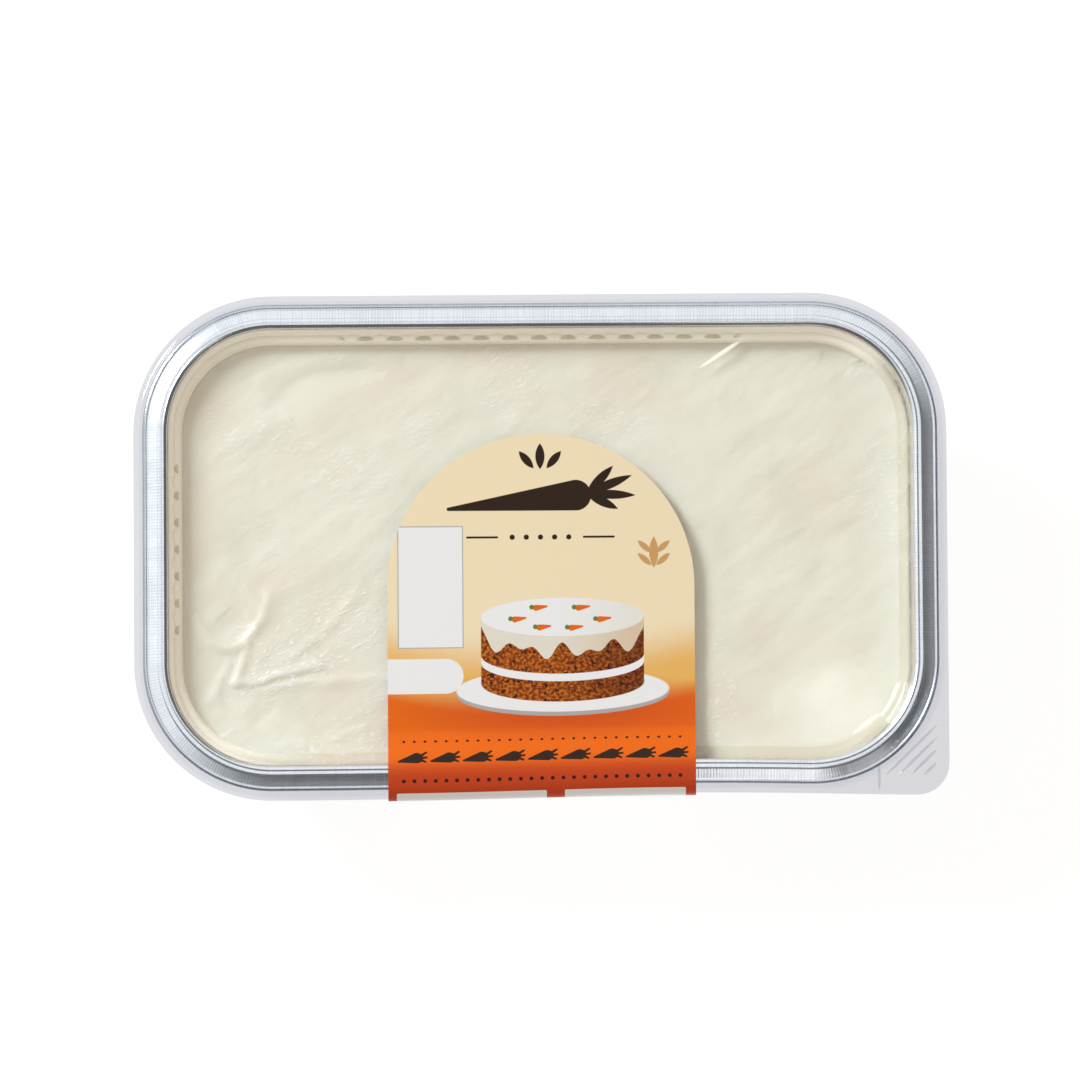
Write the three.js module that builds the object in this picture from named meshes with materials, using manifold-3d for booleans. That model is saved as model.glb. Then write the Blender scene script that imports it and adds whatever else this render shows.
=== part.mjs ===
// An iced carrot cake in a smooth-walled foil tray, shut under a clear press-fit lid,
// with a paper label that starts as an arch on the lid and wraps over the front edge.
// Millimetres, +Z up. The origin is the middle of the tray's underside, +X runs along the
// pack's length and -Y faces the side that the label goes over.

import * as THREE from 'three';
import { mergeVertices } from 'three/addons/utils/BufferGeometryUtils.js';
import Module from 'manifold-3d';

// Tray rim, measured over its rolled edge
const RIM_LENGTH = 225;
const RIM_WIDTH = 139;
const RIM_CORNER = 36.6;
const RIM_HEIGHT = 45;

// Tray wall: how far in from the rolled edge it stands at the floor and under the rim
const FOIL = 0.6;
const FLOOR_INSET = 14;
const WALL_TOP_INSET = 6.6;
const WALL_TOP_HEIGHT = 42.4;
const FLOOR_FILLET = 4;
const BEAD_RADIUS = 1.25;
const BEAD_HEIGHT = 42.75;

// Cake and icing
const GAP = 0.3;
const CAKE_TOP = 30.6;
const CAKE_EDGE = 1.2;
const ICING_INSET = 8.8;
const ICING_LEVEL = 37.2;
const ICING_EDGE = 1.6;
const ICING_COLUMNS = 50;
const ICING_ROWS = 30;

// Lid
const SHEET = 0.6;
const FLANGE_REACH = 2.5;
const FLANGE_TOP = 42.3;
const CROWN_TOP = 46;
const PANEL_TOP = 40;
const PANEL_INSET = 11.4;
const FLUTE_INSET = 9.4;
const FLUTE_DEPTH = 0.45;
const LONG_FLUTES = 14;
const LONG_PITCH = 8.2;
const SHORT_FLUTES = 7;
const SHORT_PITCH = 7.7;
const TAB_CORNER = 9.3;
const TAB_RIBS = 5;
const TAB_RIB_PITCH = 2.5;
const TAB_RIB = { width: 0.9, height: 0.5 };

// Label
const LABEL_WIDTH = 86.8;
const LABEL_THICKNESS = 0.3;
const LABEL_ARCH_Y = -11;
const LABEL_LEAVES_PANEL_Y = -53;
const LABEL_DROP_Y = -72.75;
const LABEL_MEETS_WALL = 17;
const LABEL_END = 8;

const CORNER_STEPS = 10;

const solids = await Module();
solids.setup();

// Plan outline of the rim as stations, counter-clockwise from the front right corner's
// start. Each has its place on the rolled edge, its outward direction and, where the lid is
// fluted, the side of the wave that it lies on.
function rimStations(fluted) {
  const sides = [
    { cx: 1, cy: -1, along: 'y' },
    { cx: 1, cy: 1, along: 'x' },
    { cx: -1, cy: 1, along: 'y' },
    { cx: -1, cy: -1, along: 'x' },
  ];
  const stations = [];
  sides.forEach((side, index) => {
    const centreX = side.cx * (RIM_LENGTH / 2 - RIM_CORNER);
    const centreY = side.cy * (RIM_WIDTH / 2 - RIM_CORNER);
    for (let step = 0; step <= CORNER_STEPS; step += 1) {
      const angle = ((index - 1 + step / CORNER_STEPS) * Math.PI) / 2;
      stations.push({
        x: centreX + RIM_CORNER * Math.cos(angle),
        y: centreY + RIM_CORNER * Math.sin(angle),
        outX: Math.cos(angle),
        outY: Math.sin(angle),
        angle,
        corner: index,
        order: index * 2 + step / CORNER_STEPS,
        wave: 0,
      });
    }
    if (fluted) {
      stations.push(...fluteStations(side.along, index));
    }
  });
  return stations;
}

// Stations along one straight side, two for each flute: one on its crest, one in its root
function fluteStations(along, index) {
  const count = along === 'y' ? SHORT_FLUTES : LONG_FLUTES;
  const pitch = along === 'y' ? SHORT_PITCH : LONG_PITCH;
  const angle = (index * Math.PI) / 2;
  const outX = Math.round(Math.cos(angle));
  const outY = Math.round(Math.sin(angle));
  const halves = count * 2;
  return Array.from({ length: halves + 1 }, (unused, half) => {
    const travel = (half - count) * (pitch / 2);
    return {
      x: (outX * RIM_LENGTH) / 2 - outY * travel,
      y: (outY * RIM_WIDTH) / 2 + outX * travel,
      outX,
      outY,
      order: index * 2 + 1 + (half + 1) / (halves + 2),
      wave: half % 2 ? 1 : -1,
    };
  });
}

const PLAIN_STATIONS = rimStations(false);
const FLUTED_STATIONS = rimStations(true);

// One closed ring, held a distance in from the rolled edge at one height
function ring([inset, z], stations = PLAIN_STATIONS, waveDepth = 0) {
  return stations.map((station) => {
    const shift = -inset - waveDepth * station.wave;
    return {
      order: station.order,
      point: new THREE.Vector3(station.x + station.outX * shift, station.y + station.outY * shift, z),
    };
  });
}

// Triangles between two rings that may have different numbers of points
function stitch(lower, upper, triangles) {
  let low = 0;
  let up = 0;
  while (low < lower.length || up < upper.length) {
    const lowPoint = lower[low % lower.length].point;
    const upPoint = upper[up % upper.length].point;
    const nextLow = low < lower.length ? orderAt(lower, low + 1) : Infinity;
    const nextUp = up < upper.length ? orderAt(upper, up + 1) : Infinity;
    if (nextLow <= nextUp) {
      low += 1;
      triangles.push([lowPoint, lower[low % lower.length].point, upPoint]);
    } else {
      up += 1;
      triangles.push([lowPoint, upper[up % upper.length].point, upPoint]);
    }
  }
}

// Place of a ring's point in the walk round the rim. A lap adds the eight half sides.
function orderAt(points, index) {
  const lap = Math.floor(index / points.length);
  return points[index % points.length].order + lap * 8;
}

// Flat cap from a ring to its middle, facing up or down
function cap(points, facesUp, triangles) {
  const middle = new THREE.Vector3(0, 0, points[0].point.z);
  points.forEach(({ point }, index) => {
    const next = points[(index + 1) % points.length].point;
    triangles.push(facesUp ? [middle, point, next] : [middle, next, point]);
  });
}

// Closed solid through rings that run from its flat underside to its flat upper face
function loft(rings) {
  const triangles = [];
  cap(rings[0], false, triangles);
  for (let index = 1; index < rings.length; index += 1) {
    stitch(rings[index - 1], rings[index], triangles);
  }
  cap(rings[rings.length - 1], true, triangles);
  return geometryOf(triangles);
}

// Merged geometry of a list of triangles
function geometryOf(triangles) {
  const geometry = new THREE.BufferGeometry().setFromPoints(triangles.flat());
  return mergeVertices(geometry, 1e-4);
}

// Places (inset, height) on an arc about a centre, between two angles in degrees
function arc([inset, z], radius, from, to, steps) {
  return Array.from({ length: steps + 1 }, (unused, step) => {
    const angle = THREE.MathUtils.degToRad(from + ((to - from) * step) / steps);
    return [inset + radius * Math.cos(angle), z + radius * Math.sin(angle)];
  });
}

// How far in from the rolled edge the wall's outer face stands at a height
function wallInset(z) {
  return FLOOR_INSET + ((WALL_TOP_INSET - FLOOR_INSET) * z) / WALL_TOP_HEIGHT;
}

// Rounded foot of something that stands on a floor at a height, off the wall's outer face
function foot(floor, offWall) {
  const radius = FLOOR_FILLET - offWall / 2;
  const inset = wallInset(floor + radius) + offWall + radius;
  return arc([inset, floor + radius], radius, 270, 190, 4);
}

// Foil tray: floor, tapering wall, rim with an inner ridge and a groove, and rolled edge
function foilTray() {
  const underRim = [
    [WALL_TOP_INSET, WALL_TOP_HEIGHT],
    [5.9, RIM_HEIGHT - 1.4],
    [5.3, RIM_HEIGHT - 0.75],
    [4.6, RIM_HEIGHT - 1.65],
    [2.9, RIM_HEIGHT - 1.95],
  ];
  const bead = arc([BEAD_RADIUS, BEAD_HEIGHT], BEAD_RADIUS, -10, -300, 9);
  const overRim = [
    [2.5, RIM_HEIGHT - 1.3],
    [4.3, RIM_HEIGHT - 0.75],
    [4.75, RIM_HEIGHT - 0.95],
    [5.3, RIM_HEIGHT - 0.05],
    [5.9, RIM_HEIGHT],
    [6.5, RIM_HEIGHT - 0.6],
    [WALL_TOP_INSET + FOIL, WALL_TOP_HEIGHT],
  ];
  const profile = [...foot(0, 0), ...underRim, ...bead, ...overRim, ...foot(FOIL, FOIL).reverse()];
  return loft(profile.map((place) => ring(place)));
}

// Sponge: fills the tray up to the icing, with its top edge rounded off
function carrotCake() {
  const offWall = FOIL + GAP;
  const edge = [
    [wallInset(CAKE_TOP - CAKE_EDGE) + offWall, CAKE_TOP - CAKE_EDGE],
    [wallInset(CAKE_TOP) + offWall + CAKE_EDGE * 0.3, CAKE_TOP - CAKE_EDGE * 0.3],
    [wallInset(CAKE_TOP) + offWall + CAKE_EDGE, CAKE_TOP],
  ];
  return loft([...foot(offWall, offWall), ...edge].map((place) => ring(place)));
}

// Spatula strokes left in the icing, as places on the plan from the pack's middle. A height
// above nought is a ridge and below nought a groove or dimple.
const STROKES = [
  { height: 1.1, width: 2.6, path: [[-98, -18], [-95, -26], [-88, -29], [-81, -24], [-77, -11]] },
  { height: 0.9, width: 2.2, path: [[-84, -29], [-86, -36], [-79, -38.5], [-63, -34]] },
  { height: 0.8, width: 2.2, path: [[-78, -40.5], [-70, -39], [-57, -37], [-44, -36]] },
  { height: -0.9, width: 3.4, path: [[-88, -20], [-87, -16]] },
  { height: -1, width: 2.8, path: [[-87, -42], [-83, -45], [-78, -46]] },
  { height: 1, width: 2.4, path: [[-71, -56], [-65, -56.5]] },
  { height: 0.8, width: 2.4, path: [[-56, -53], [-51, -51]] },
  { height: -0.8, width: 2, path: [[-75, 43], [-70, 47], [-61, 50], [-49, 51]] },
  { height: 0.8, width: 2.2, path: [[-76, 49], [-68, 53.5], [-55, 55]] },
  { height: 0.7, width: 3, path: [[60, 30], [72, 22], [80, 8], [82, -8]] },
  { height: -0.6, width: 3.4, path: [[50, 22], [62, 14], [70, 0], [70, -14]] },
];

// The same strokes as curves with sampled points, ready to measure from
const STROKE_CURVES = STROKES.map(({ height, width, path }) => {
  const corners = path.map(([x, y]) => new THREE.Vector3(x, y, 0));
  return { height, width, points: new THREE.CatmullRomCurve3(corners).getPoints(16) };
});

// Height of the icing's surface at a place on the plan
function icingSurface(x, y) {
  const place = new THREE.Vector3(x, y, 0);
  const sweep = 0.35 * Math.sin(x / 17 + y / 31) + 0.25 * Math.sin(x / 41 - y / 13);
  const strokes = STROKE_CURVES.map(({ height, width, points }) => {
    const distance = Math.min(...points.map((point) => point.distanceTo(place)));
    return height * Math.exp(-((distance / width) ** 2));
  });
  return ICING_LEVEL + sweep + strokes.reduce((sum, rise) => sum + rise, 0);
}

// How far a place can be scaled out from the middle before it meets a rounded corner
function reachOfCorner(x, y, cornerX, cornerY, radius) {
  const along = x * cornerX + y * cornerY;
  const square = x * x + y * y;
  const clear = cornerX * cornerX + cornerY * cornerY - radius * radius;
  return (along + Math.sqrt(along * along - square * clear)) / square;
}

// A place of the unit square, moved onto the rounded rectangle that lies at an inset
function icingPlace(u, v, inset) {
  const halfX = RIM_LENGTH / 2 - inset;
  const halfY = RIM_WIDTH / 2 - inset;
  const radius = RIM_CORNER - inset;
  const most = Math.max(Math.abs(u), Math.abs(v));
  if (most === 0) {
    return [0, 0];
  }
  const edgeX = (Math.abs(u) / most) * halfX;
  const edgeY = (Math.abs(v) / most) * halfY;
  const inCorner = edgeX > halfX - radius && edgeY > halfY - radius;
  const scale = inCorner ? reachOfCorner(edgeX, edgeY, halfX - radius, halfY - radius, radius) : 1;
  return [u * halfX * scale, v * halfY * scale];
}

// Icing: a flat underside just over the sponge, sides that slope as the tray's wall does,
// and a spread surface with a rounded edge
function icing() {
  const underside = CAKE_TOP + GAP;
  const footInset = wallInset(underside) + FOIL + GAP;
  const plan = (column, row, inset) =>
    icingPlace((2 * column) / ICING_COLUMNS - 1, (2 * row) / ICING_ROWS - 1, inset);
  const vertex = (column, row) => {
    const [x, y] = plan(column, row, ICING_INSET);
    const atEdge = column % ICING_COLUMNS === 0 || row % ICING_ROWS === 0;
    return new THREE.Vector3(x, y, icingSurface(x, y) - (atEdge ? ICING_EDGE : 0));
  };
  const triangles = [];
  for (let row = 0; row < ICING_ROWS; row += 1) {
    for (let column = 0; column < ICING_COLUMNS; column += 1) {
      const a = vertex(column, row);
      const b = vertex(column + 1, row);
      const c = vertex(column + 1, row + 1);
      const d = vertex(column, row + 1);
      triangles.push([a, b, c], [a, c, d]);
    }
  }
  const border = [];
  for (let column = 0; column < ICING_COLUMNS; column += 1) {
    border.push([column, 0]);
  }
  for (let row = 0; row < ICING_ROWS; row += 1) {
    border.push([ICING_COLUMNS, row]);
  }
  for (let column = ICING_COLUMNS; column > 0; column -= 1) {
    border.push([column, ICING_ROWS]);
  }
  for (let row = ICING_ROWS; row > 0; row -= 1) {
    border.push([0, row]);
  }
  const upper = border.map(([column, row]) => vertex(column, row));
  const lower = border.map(([column, row]) => {
    const [x, y] = plan(column, row, footInset);
    return new THREE.Vector3(x, y, underside);
  });
  cap(lower.map((point) => ({ point })), false, triangles);
  lower.forEach((point, index) => {
    const next = (index + 1) % lower.length;
    triangles.push([point, lower[next], upper[next]], [point, upper[next], upper[index]]);
  });
  return geometryOf(triangles);
}

// Lid's upper face from the flange's edge to the panel, as places (inset, height)
const LID_OUTSIDE = [
  [-FLANGE_REACH, FLANGE_TOP],
  [-1.6, FLANGE_TOP],
  [-1.1, FLANGE_TOP + 0.5],
  [-1, FLANGE_TOP + 1.9],
  [-0.1, FLANGE_TOP + 2.7],
  [2.4, CROWN_TOP - 0.65],
  [5, CROWN_TOP],
  [6.3, CROWN_TOP - 0.05],
  [7.3, CROWN_TOP - 0.8],
  [8.1, CROWN_TOP - 2.4],
];

// The part of that face that is fluted: foot of the plug wall and the step to the panel
const LID_FLUTED = [
  [FLUTE_INSET - 0.5, PANEL_TOP + 1.5],
  [FLUTE_INSET, PANEL_TOP + 1.1],
  [FLUTE_INSET + 0.5, PANEL_TOP + 1],
];

const LID_INSIDE = [
  [PANEL_INSET - 0.7, PANEL_TOP + 0.3],
  [PANEL_INSET, PANEL_TOP],
];

// The other face of a sheet whose one face runs through these places
function otherFace(places, thickness) {
  return places.map(([inset, z], index) => {
    const before = places[Math.max(index - 1, 0)];
    const after = places[Math.min(index + 1, places.length - 1)];
    const run = new THREE.Vector2(after[0] - before[0], after[1] - before[1]).normalize();
    return [inset + run.y * thickness, z - run.x * thickness];
  });
}

// Rings of one face of the lid, in order from the flange to the panel. The last one before
// the flutes already has their stations, so that the flutes rise from an even band.
function lidRings(places) {
  return places.map((place, index) => {
    const pastWall = index - LID_OUTSIDE.length;
    if (pastWall < -1) {
      return ring(place);
    }
    const fluted = pastWall >= 0 && pastWall < LID_FLUTED.length;
    return ring(place, FLUTED_STATIONS, fluted ? FLUTE_DEPTH : 0);
  });
}

// Carries the flange's edge at the front right corner out to the pull tab's outline
function drawTab(edge) {
  const box = RIM_CORNER + FLANGE_REACH;
  const centreX = RIM_LENGTH / 2 - RIM_CORNER;
  const centreY = -(RIM_WIDTH / 2 - RIM_CORNER);
  PLAIN_STATIONS.forEach((station, index) => {
    if (station.corner !== 0) {
      return;
    }
    const across = Math.abs(Math.cos(station.angle));
    const down = Math.abs(Math.sin(station.angle));
    const toBox = box / Math.max(across, down);
    const inCorner = Math.min(across, down) * toBox > box - TAB_CORNER;
    const middle = box - TAB_CORNER;
    const scale = inCorner
      ? reachOfCorner(across * toBox, down * toBox, middle, middle, TAB_CORNER)
      : 1;
    edge[index].point.x = centreX + across * toBox * scale;
    edge[index].point.y = centreY - down * toBox * scale;
  });
  return edge;
}

// Slanting grip ribs across the pull tab
function tabRibs() {
  const tabX = RIM_LENGTH / 2 + FLANGE_REACH - TAB_CORNER;
  const tabY = -(RIM_WIDTH / 2 + FLANGE_REACH - TAB_CORNER);
  return Array.from({ length: TAB_RIBS }, (unused, index) => {
    const length = 14 - index * 1.6;
    const out = (index - 1.6) * TAB_RIB_PITCH;
    const rib = new THREE.BoxGeometry(length, TAB_RIB.width, TAB_RIB.height * 2);
    rib.rotateZ(Math.PI / 4);
    rib.translate(tabX + out * Math.SQRT1_2, tabY - out * Math.SQRT1_2, FLANGE_TOP);
    return rib;
  });
}

// Clear lid: flange, skirt and crown over the rim, fluted plug wall and sunken panel
function lid() {
  const upper = lidRings([...LID_OUTSIDE, ...LID_FLUTED, ...LID_INSIDE]);
  const lower = lidRings(otherFace([...LID_OUTSIDE, ...LID_FLUTED, ...LID_INSIDE], SHEET));
  drawTab(upper[0]);
  drawTab(lower[0]);
  const shell = solidOf(loft([...lower.reverse(), ...upper]));
  return geometryFrom(tabRibs().reduce((body, rib) => body.add(solidOf(rib)), shell));
}

// A closed geometry as a solid that can be joined
function solidOf(geometry) {
  const bare = geometry.clone();
  bare.deleteAttribute('normal');
  bare.deleteAttribute('uv');
  const merged = mergeVertices(bare, 1e-4);
  return new solids.Manifold(
    new solids.Mesh({
      numProp: 3,
      vertProperties: new Float32Array(merged.attributes.position.array),
      triVerts: new Uint32Array(merged.index.array),
    }),
  );
}

// A joined solid as a geometry
function geometryFrom(solid) {
  const mesh = solid.getMesh();
  const geometry = new THREE.BufferGeometry();
  geometry.setAttribute('position', new THREE.BufferAttribute(mesh.vertProperties, 3));
  geometry.setIndex(new THREE.BufferAttribute(mesh.triVerts, 1));
  return geometry;
}

// Middle line of the label from the arch's tip to its lower end, as places (y, height)
function labelLine() {
  const radius = LABEL_WIDTH / 2;
  const onPanel = PANEL_TOP + GAP + LABEL_THICKNESS / 2;
  const onCrown = CROWN_TOP + GAP + LABEL_THICKNESS / 2;
  const wallY = (z) => -(RIM_WIDTH / 2 - wallInset(z)) - GAP - LABEL_THICKNESS / 2 - 0.05;
  const arch = Array.from({ length: 13 }, (unused, step) => {
    const angle = (step / 12) * (Math.PI / 2) + 0.02 * (1 - step / 12);
    return [LABEL_ARCH_Y + radius * Math.cos(angle), onPanel];
  });
  return [
    ...arch,
    [LABEL_LEAVES_PANEL_Y + 1.5, onPanel],
    [LABEL_LEAVES_PANEL_Y - 0.5, onPanel + 0.5],
    [-61.5, onCrown - 0.7],
    [-63, onCrown],
    [-65, onCrown + 0.05],
    [-68.5, onCrown - 0.55],
    [-70.4, onCrown - 1.3],
    [-71.7, onCrown - 2.6],
    [LABEL_DROP_Y, onCrown - 4.6],
    [LABEL_DROP_Y, onCrown - 12],
    [LABEL_DROP_Y + 1.2, onCrown - 15],
    [wallY(LABEL_MEETS_WALL) - 1.2, LABEL_MEETS_WALL + 2.2],
    [wallY(LABEL_MEETS_WALL - 2), LABEL_MEETS_WALL - 2],
    [wallY(LABEL_END), LABEL_END],
  ];
}

// Paper label: a thin sheet along that line, as wide as the arch allows at each place
function label() {
  const line = labelLine();
  const radius = LABEL_WIDTH / 2;
  const rows = line.map(([y, z], index) => {
    const before = line[Math.max(index - 1, 0)];
    const after = line[Math.min(index + 1, line.length - 1)];
    const run = new THREE.Vector2(after[0] - before[0], after[1] - before[1]).normalize();
    const offY = (run.y * LABEL_THICKNESS) / 2;
    const offZ = (-run.x * LABEL_THICKNESS) / 2;
    const past = Math.max(y - LABEL_ARCH_Y, 0);
    const half = Math.sqrt(radius * radius - past * past);
    return [
      new THREE.Vector3(-half, y - offY, z - offZ),
      new THREE.Vector3(half, y - offY, z - offZ),
      new THREE.Vector3(half, y + offY, z + offZ),
      new THREE.Vector3(-half, y + offY, z + offZ),
    ];
  });
  const triangles = [];
  const first = rows[0];
  const last = rows[rows.length - 1];
  triangles.push([first[0], first[2], first[1]], [first[0], first[3], first[2]]);
  for (let index = 1; index < rows.length; index += 1) {
    const near = rows[index - 1];
    const far = rows[index];
    near.forEach((corner, side) => {
      const next = (side + 1) % near.length;
      triangles.push([corner, near[next], far[next]], [corner, far[next], far[side]]);
    });
  }
  triangles.push([last[0], last[1], last[2]], [last[0], last[2], last[3]]);
  return geometryOf(triangles);
}

function mesh(name, geometry, colour, roughness, metalness, opacity = 1) {
  const material = new THREE.MeshStandardMaterial({
    color: colour,
    roughness,
    metalness,
    opacity,
    transparent: opacity < 1,
    flatShading: true,
  });
  const part = new THREE.Mesh(geometry, material);
  part.name = name;
  return part;
}

const pack = new THREE.Group();
pack.name = 'iced_carrot_cake_pack';
pack.add(
  mesh('foil_tray', foilTray(), 0xb9bec2, 0.3, 1),
  mesh('carrot_cake', carrotCake(), 0xa9713f, 0.9, 0),
  mesh('icing', icing(), 0xf0ecd8, 0.5, 0),
  mesh('lid', lid(), 0xe8eef0, 0.08, 0, 0.3),
  mesh('label', label(), 0xf2dcb4, 0.55, 0),
);

export default pack;
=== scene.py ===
"""An iced carrot cake in a lidded foil tray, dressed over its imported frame.

The pack is seen from almost straight above. Every sheet of it, the foil, the lid and the
icing's edge, follows the rim's rounded rectangle at some inset, so the rim's plan is worked
out once and the pieces are lofted from it. Sizes inside the classes are millimetres, as in
the part's own drawing, and become metres where a mesh is placed.
"""

import logging
import math
from collections.abc import Callable, Sequence
from dataclasses import dataclass, field
from enum import Enum
from typing import NamedTuple

import bmesh
import bpy
import numpy as np
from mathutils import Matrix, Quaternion, Vector, noise


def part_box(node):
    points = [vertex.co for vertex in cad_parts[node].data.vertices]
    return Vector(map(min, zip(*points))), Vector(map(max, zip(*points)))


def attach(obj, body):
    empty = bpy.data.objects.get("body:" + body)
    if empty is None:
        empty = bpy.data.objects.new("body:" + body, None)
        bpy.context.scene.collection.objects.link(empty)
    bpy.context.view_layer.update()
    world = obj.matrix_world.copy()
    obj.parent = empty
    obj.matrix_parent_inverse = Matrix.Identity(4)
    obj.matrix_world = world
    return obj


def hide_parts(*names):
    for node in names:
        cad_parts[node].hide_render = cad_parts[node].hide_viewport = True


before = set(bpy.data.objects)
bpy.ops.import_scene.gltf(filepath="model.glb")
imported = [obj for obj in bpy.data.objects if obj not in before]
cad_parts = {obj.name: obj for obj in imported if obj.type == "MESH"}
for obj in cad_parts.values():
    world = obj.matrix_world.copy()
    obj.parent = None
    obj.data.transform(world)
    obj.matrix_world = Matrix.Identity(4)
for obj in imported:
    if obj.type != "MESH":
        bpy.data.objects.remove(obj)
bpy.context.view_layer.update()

MM = 0.001
BODY = "root"

log = logging.getLogger("carrot_cake")

Colour = tuple[float, float, float]
Place = tuple[float, float]


class Slot(Enum):
    """The record's material slots, listed here; the pieces don't use them."""

    FOIL = "foil"
    ICING = "icing"
    LID = "clear_lid"
    LABEL = "label_paper"


def srgb(red: int, green: int, blue: int) -> Colour:
    """Turns a display colour, 0 to 255, into the linear colour that shaders take."""
    parts = (value / 255.0 for value in (red, green, blue))
    return tuple(p / 12.92 if p <= 0.04045 else ((p + 0.055) / 1.055) ** 2.4 for p in parts)


def rounded(places: Sequence[Place], rounds: int = 2) -> list[Place]:
    """Cuts the corners off a line again and again, which rounds it, and keeps its ends.

    Args:
        places: The line's corners.
        rounds: How many times its corners are cut.

    Returns:
        The rounded line.
    """
    line = [np.array(place, float) for place in places]
    for _ in range(rounds):
        cut = [line[0]]
        for first, second in zip(line, line[1:]):
            cut += [0.75 * first + 0.25 * second, 0.25 * first + 0.75 * second]
        line = [*cut, line[-1]]
    return [(float(x), float(y)) for x, y in line]


def arc(centre: Place, radius: float, start: float, end: float, steps: int) -> list[Place]:
    """Places on an arc from a start angle to an end angle, in degrees, one more than its steps."""
    angles = np.radians(np.linspace(start, end, steps + 1))
    return [(centre[0] + radius * math.cos(a), centre[1] + radius * math.sin(a)) for a in angles]


def runs_along(line: Sequence[Place]) -> np.ndarray:
    """Distances along a line from its start, one for each of its places."""
    steps = np.diff(np.array(line), axis=0)
    return np.concatenate([[0.0], np.cumsum(np.hypot(steps[:, 0], steps[:, 1]))])


class Station(NamedTuple):
    """One place on the rim's plan outline, in millimetres."""

    x: float
    y: float
    out_x: float
    out_y: float
    run: float
    wave: float
    corner: int | None


@dataclass(frozen=True)
class Rim:
    """Plan of the tray's rolled edge, which every sheet of the pack follows at an inset."""

    length: float
    width: float
    corner: float = 36.6
    corner_steps: int = 44
    flute_pitch: float = 8.2
    flute_span: float = 114.8
    short_pitch: float = 7.7
    short_span: float = 53.9
    pull: float = 1.6
    pull_middle: float = 42.0
    pull_width: float = 60.0
    pull_front: Place = (10.0, 70.0)
    pull_height: Place = (28.0, 40.0)

    @classmethod
    def of_tray(cls) -> "Rim":
        """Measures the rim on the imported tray."""
        low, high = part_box("foil_tray")
        return cls(length=(high.x - low.x) / MM, width=(high.y - low.y) / MM)

    def half(self, inset: float) -> Place:
        """Half the length and width at an inset."""
        return self.length / 2 - inset, self.width / 2 - inset

    def draw_in(self, piece: bpy.types.Object) -> None:
        """Bows the front edge in where the stuck label pulls it, alike for every piece.

        Args:
            piece: A finished sheet, which is bowed near the front and the rim's height.
        """
        where = places_of(piece)
        x, y, z = (where / MM).T
        share = np.interp(-y, self.pull_front, (0, 1)) * np.interp(z, self.pull_height, (0, 1))
        bow = np.exp(-(((x - self.pull_middle) / self.pull_width) ** 2))
        where[:, 1] += self.pull * share * bow * MM
        place_vertices(piece, where)

    def wave(self, travel: float, pitch: float, span: float) -> float:
        """Scallop of the fluted wall at one place of a side.

        Args:
            travel: Distance from the side's middle.
            pitch: Spacing of the flutes.
            span: Length of the fluted stretch.

        Returns:
            The scallop, from -1 to 1.
        """
        if abs(travel) > span / 2:
            return 0.0
        end = min(1.0, (span / 2 - abs(travel)) / (pitch / 2))
        return end * (2 * abs(math.sin(math.pi * (travel / pitch + 0.5))) - 1)

    def stations(self, step: float) -> list[Station]:
        """Walks the outline counter-clockwise from the front right corner.

        Args:
            step: Spacing along the straight sides.

        Returns:
            The stations, with the corner that each belongs to, or None on a side.
        """
        walk = []
        for corner, (sign_x, sign_y) in enumerate(((1, -1), (1, 1), (-1, 1), (-1, -1))):
            middle_x = sign_x * (self.length / 2 - self.corner)
            middle_y = sign_y * (self.width / 2 - self.corner)
            for turn in range(self.corner_steps + 1):
                angle = (corner - 1 + turn / self.corner_steps) * math.pi / 2
                out_x, out_y = math.cos(angle), math.sin(angle)
                x, y = middle_x + self.corner * out_x, middle_y + self.corner * out_y
                walk.append(Station(x, y, out_x, out_y, self.run(x, y), 0.0, corner))
            walk += self.side_stations(corner, step)
        return walk

    def side_stations(self, side: int, step: float) -> list[Station]:
        """Stations inside one straight side, without its ends.

        Args:
            side: Number of the corner before it.
            step: Their spacing.

        Returns:
            The stations, in walking order.
        """
        out_x, out_y = ((1, 0), (0, 1), (-1, 0), (0, -1))[side]
        short = side % 2 == 0
        straight = (self.width if short else self.length) - 2 * self.corner
        pitch, span = (
            (self.short_pitch, self.short_span) if short else (self.flute_pitch, self.flute_span)
        )
        count = round(straight / step)
        found = []
        for index in range(1, count):
            travel = (index / count - 0.5) * straight
            x = out_x * self.length / 2 - out_y * travel
            y = out_y * self.width / 2 + out_x * travel
            wave = self.wave(travel, pitch, span)
            found.append(Station(x, y, out_x, out_y, self.run(x, y), wave, None))
        return found

    def run(self, x: float, y: float) -> float:
        """Distance along the rim from the middle of a long side, alike in all quarters.

        Args:
            x: A place of the outline along the pack.
            y: The place across it.

        Returns:
            The distance.
        """
        side_x = self.length / 2 - self.corner
        side_y = self.width / 2 - self.corner
        past_x, past_y = abs(x) - side_x, abs(y) - side_y
        if past_x <= 0:
            return abs(x)
        if past_y <= 0:
            return side_x + self.corner * math.pi / 2 - past_y
        return side_x + self.corner * math.atan2(past_x, past_y)


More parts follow.
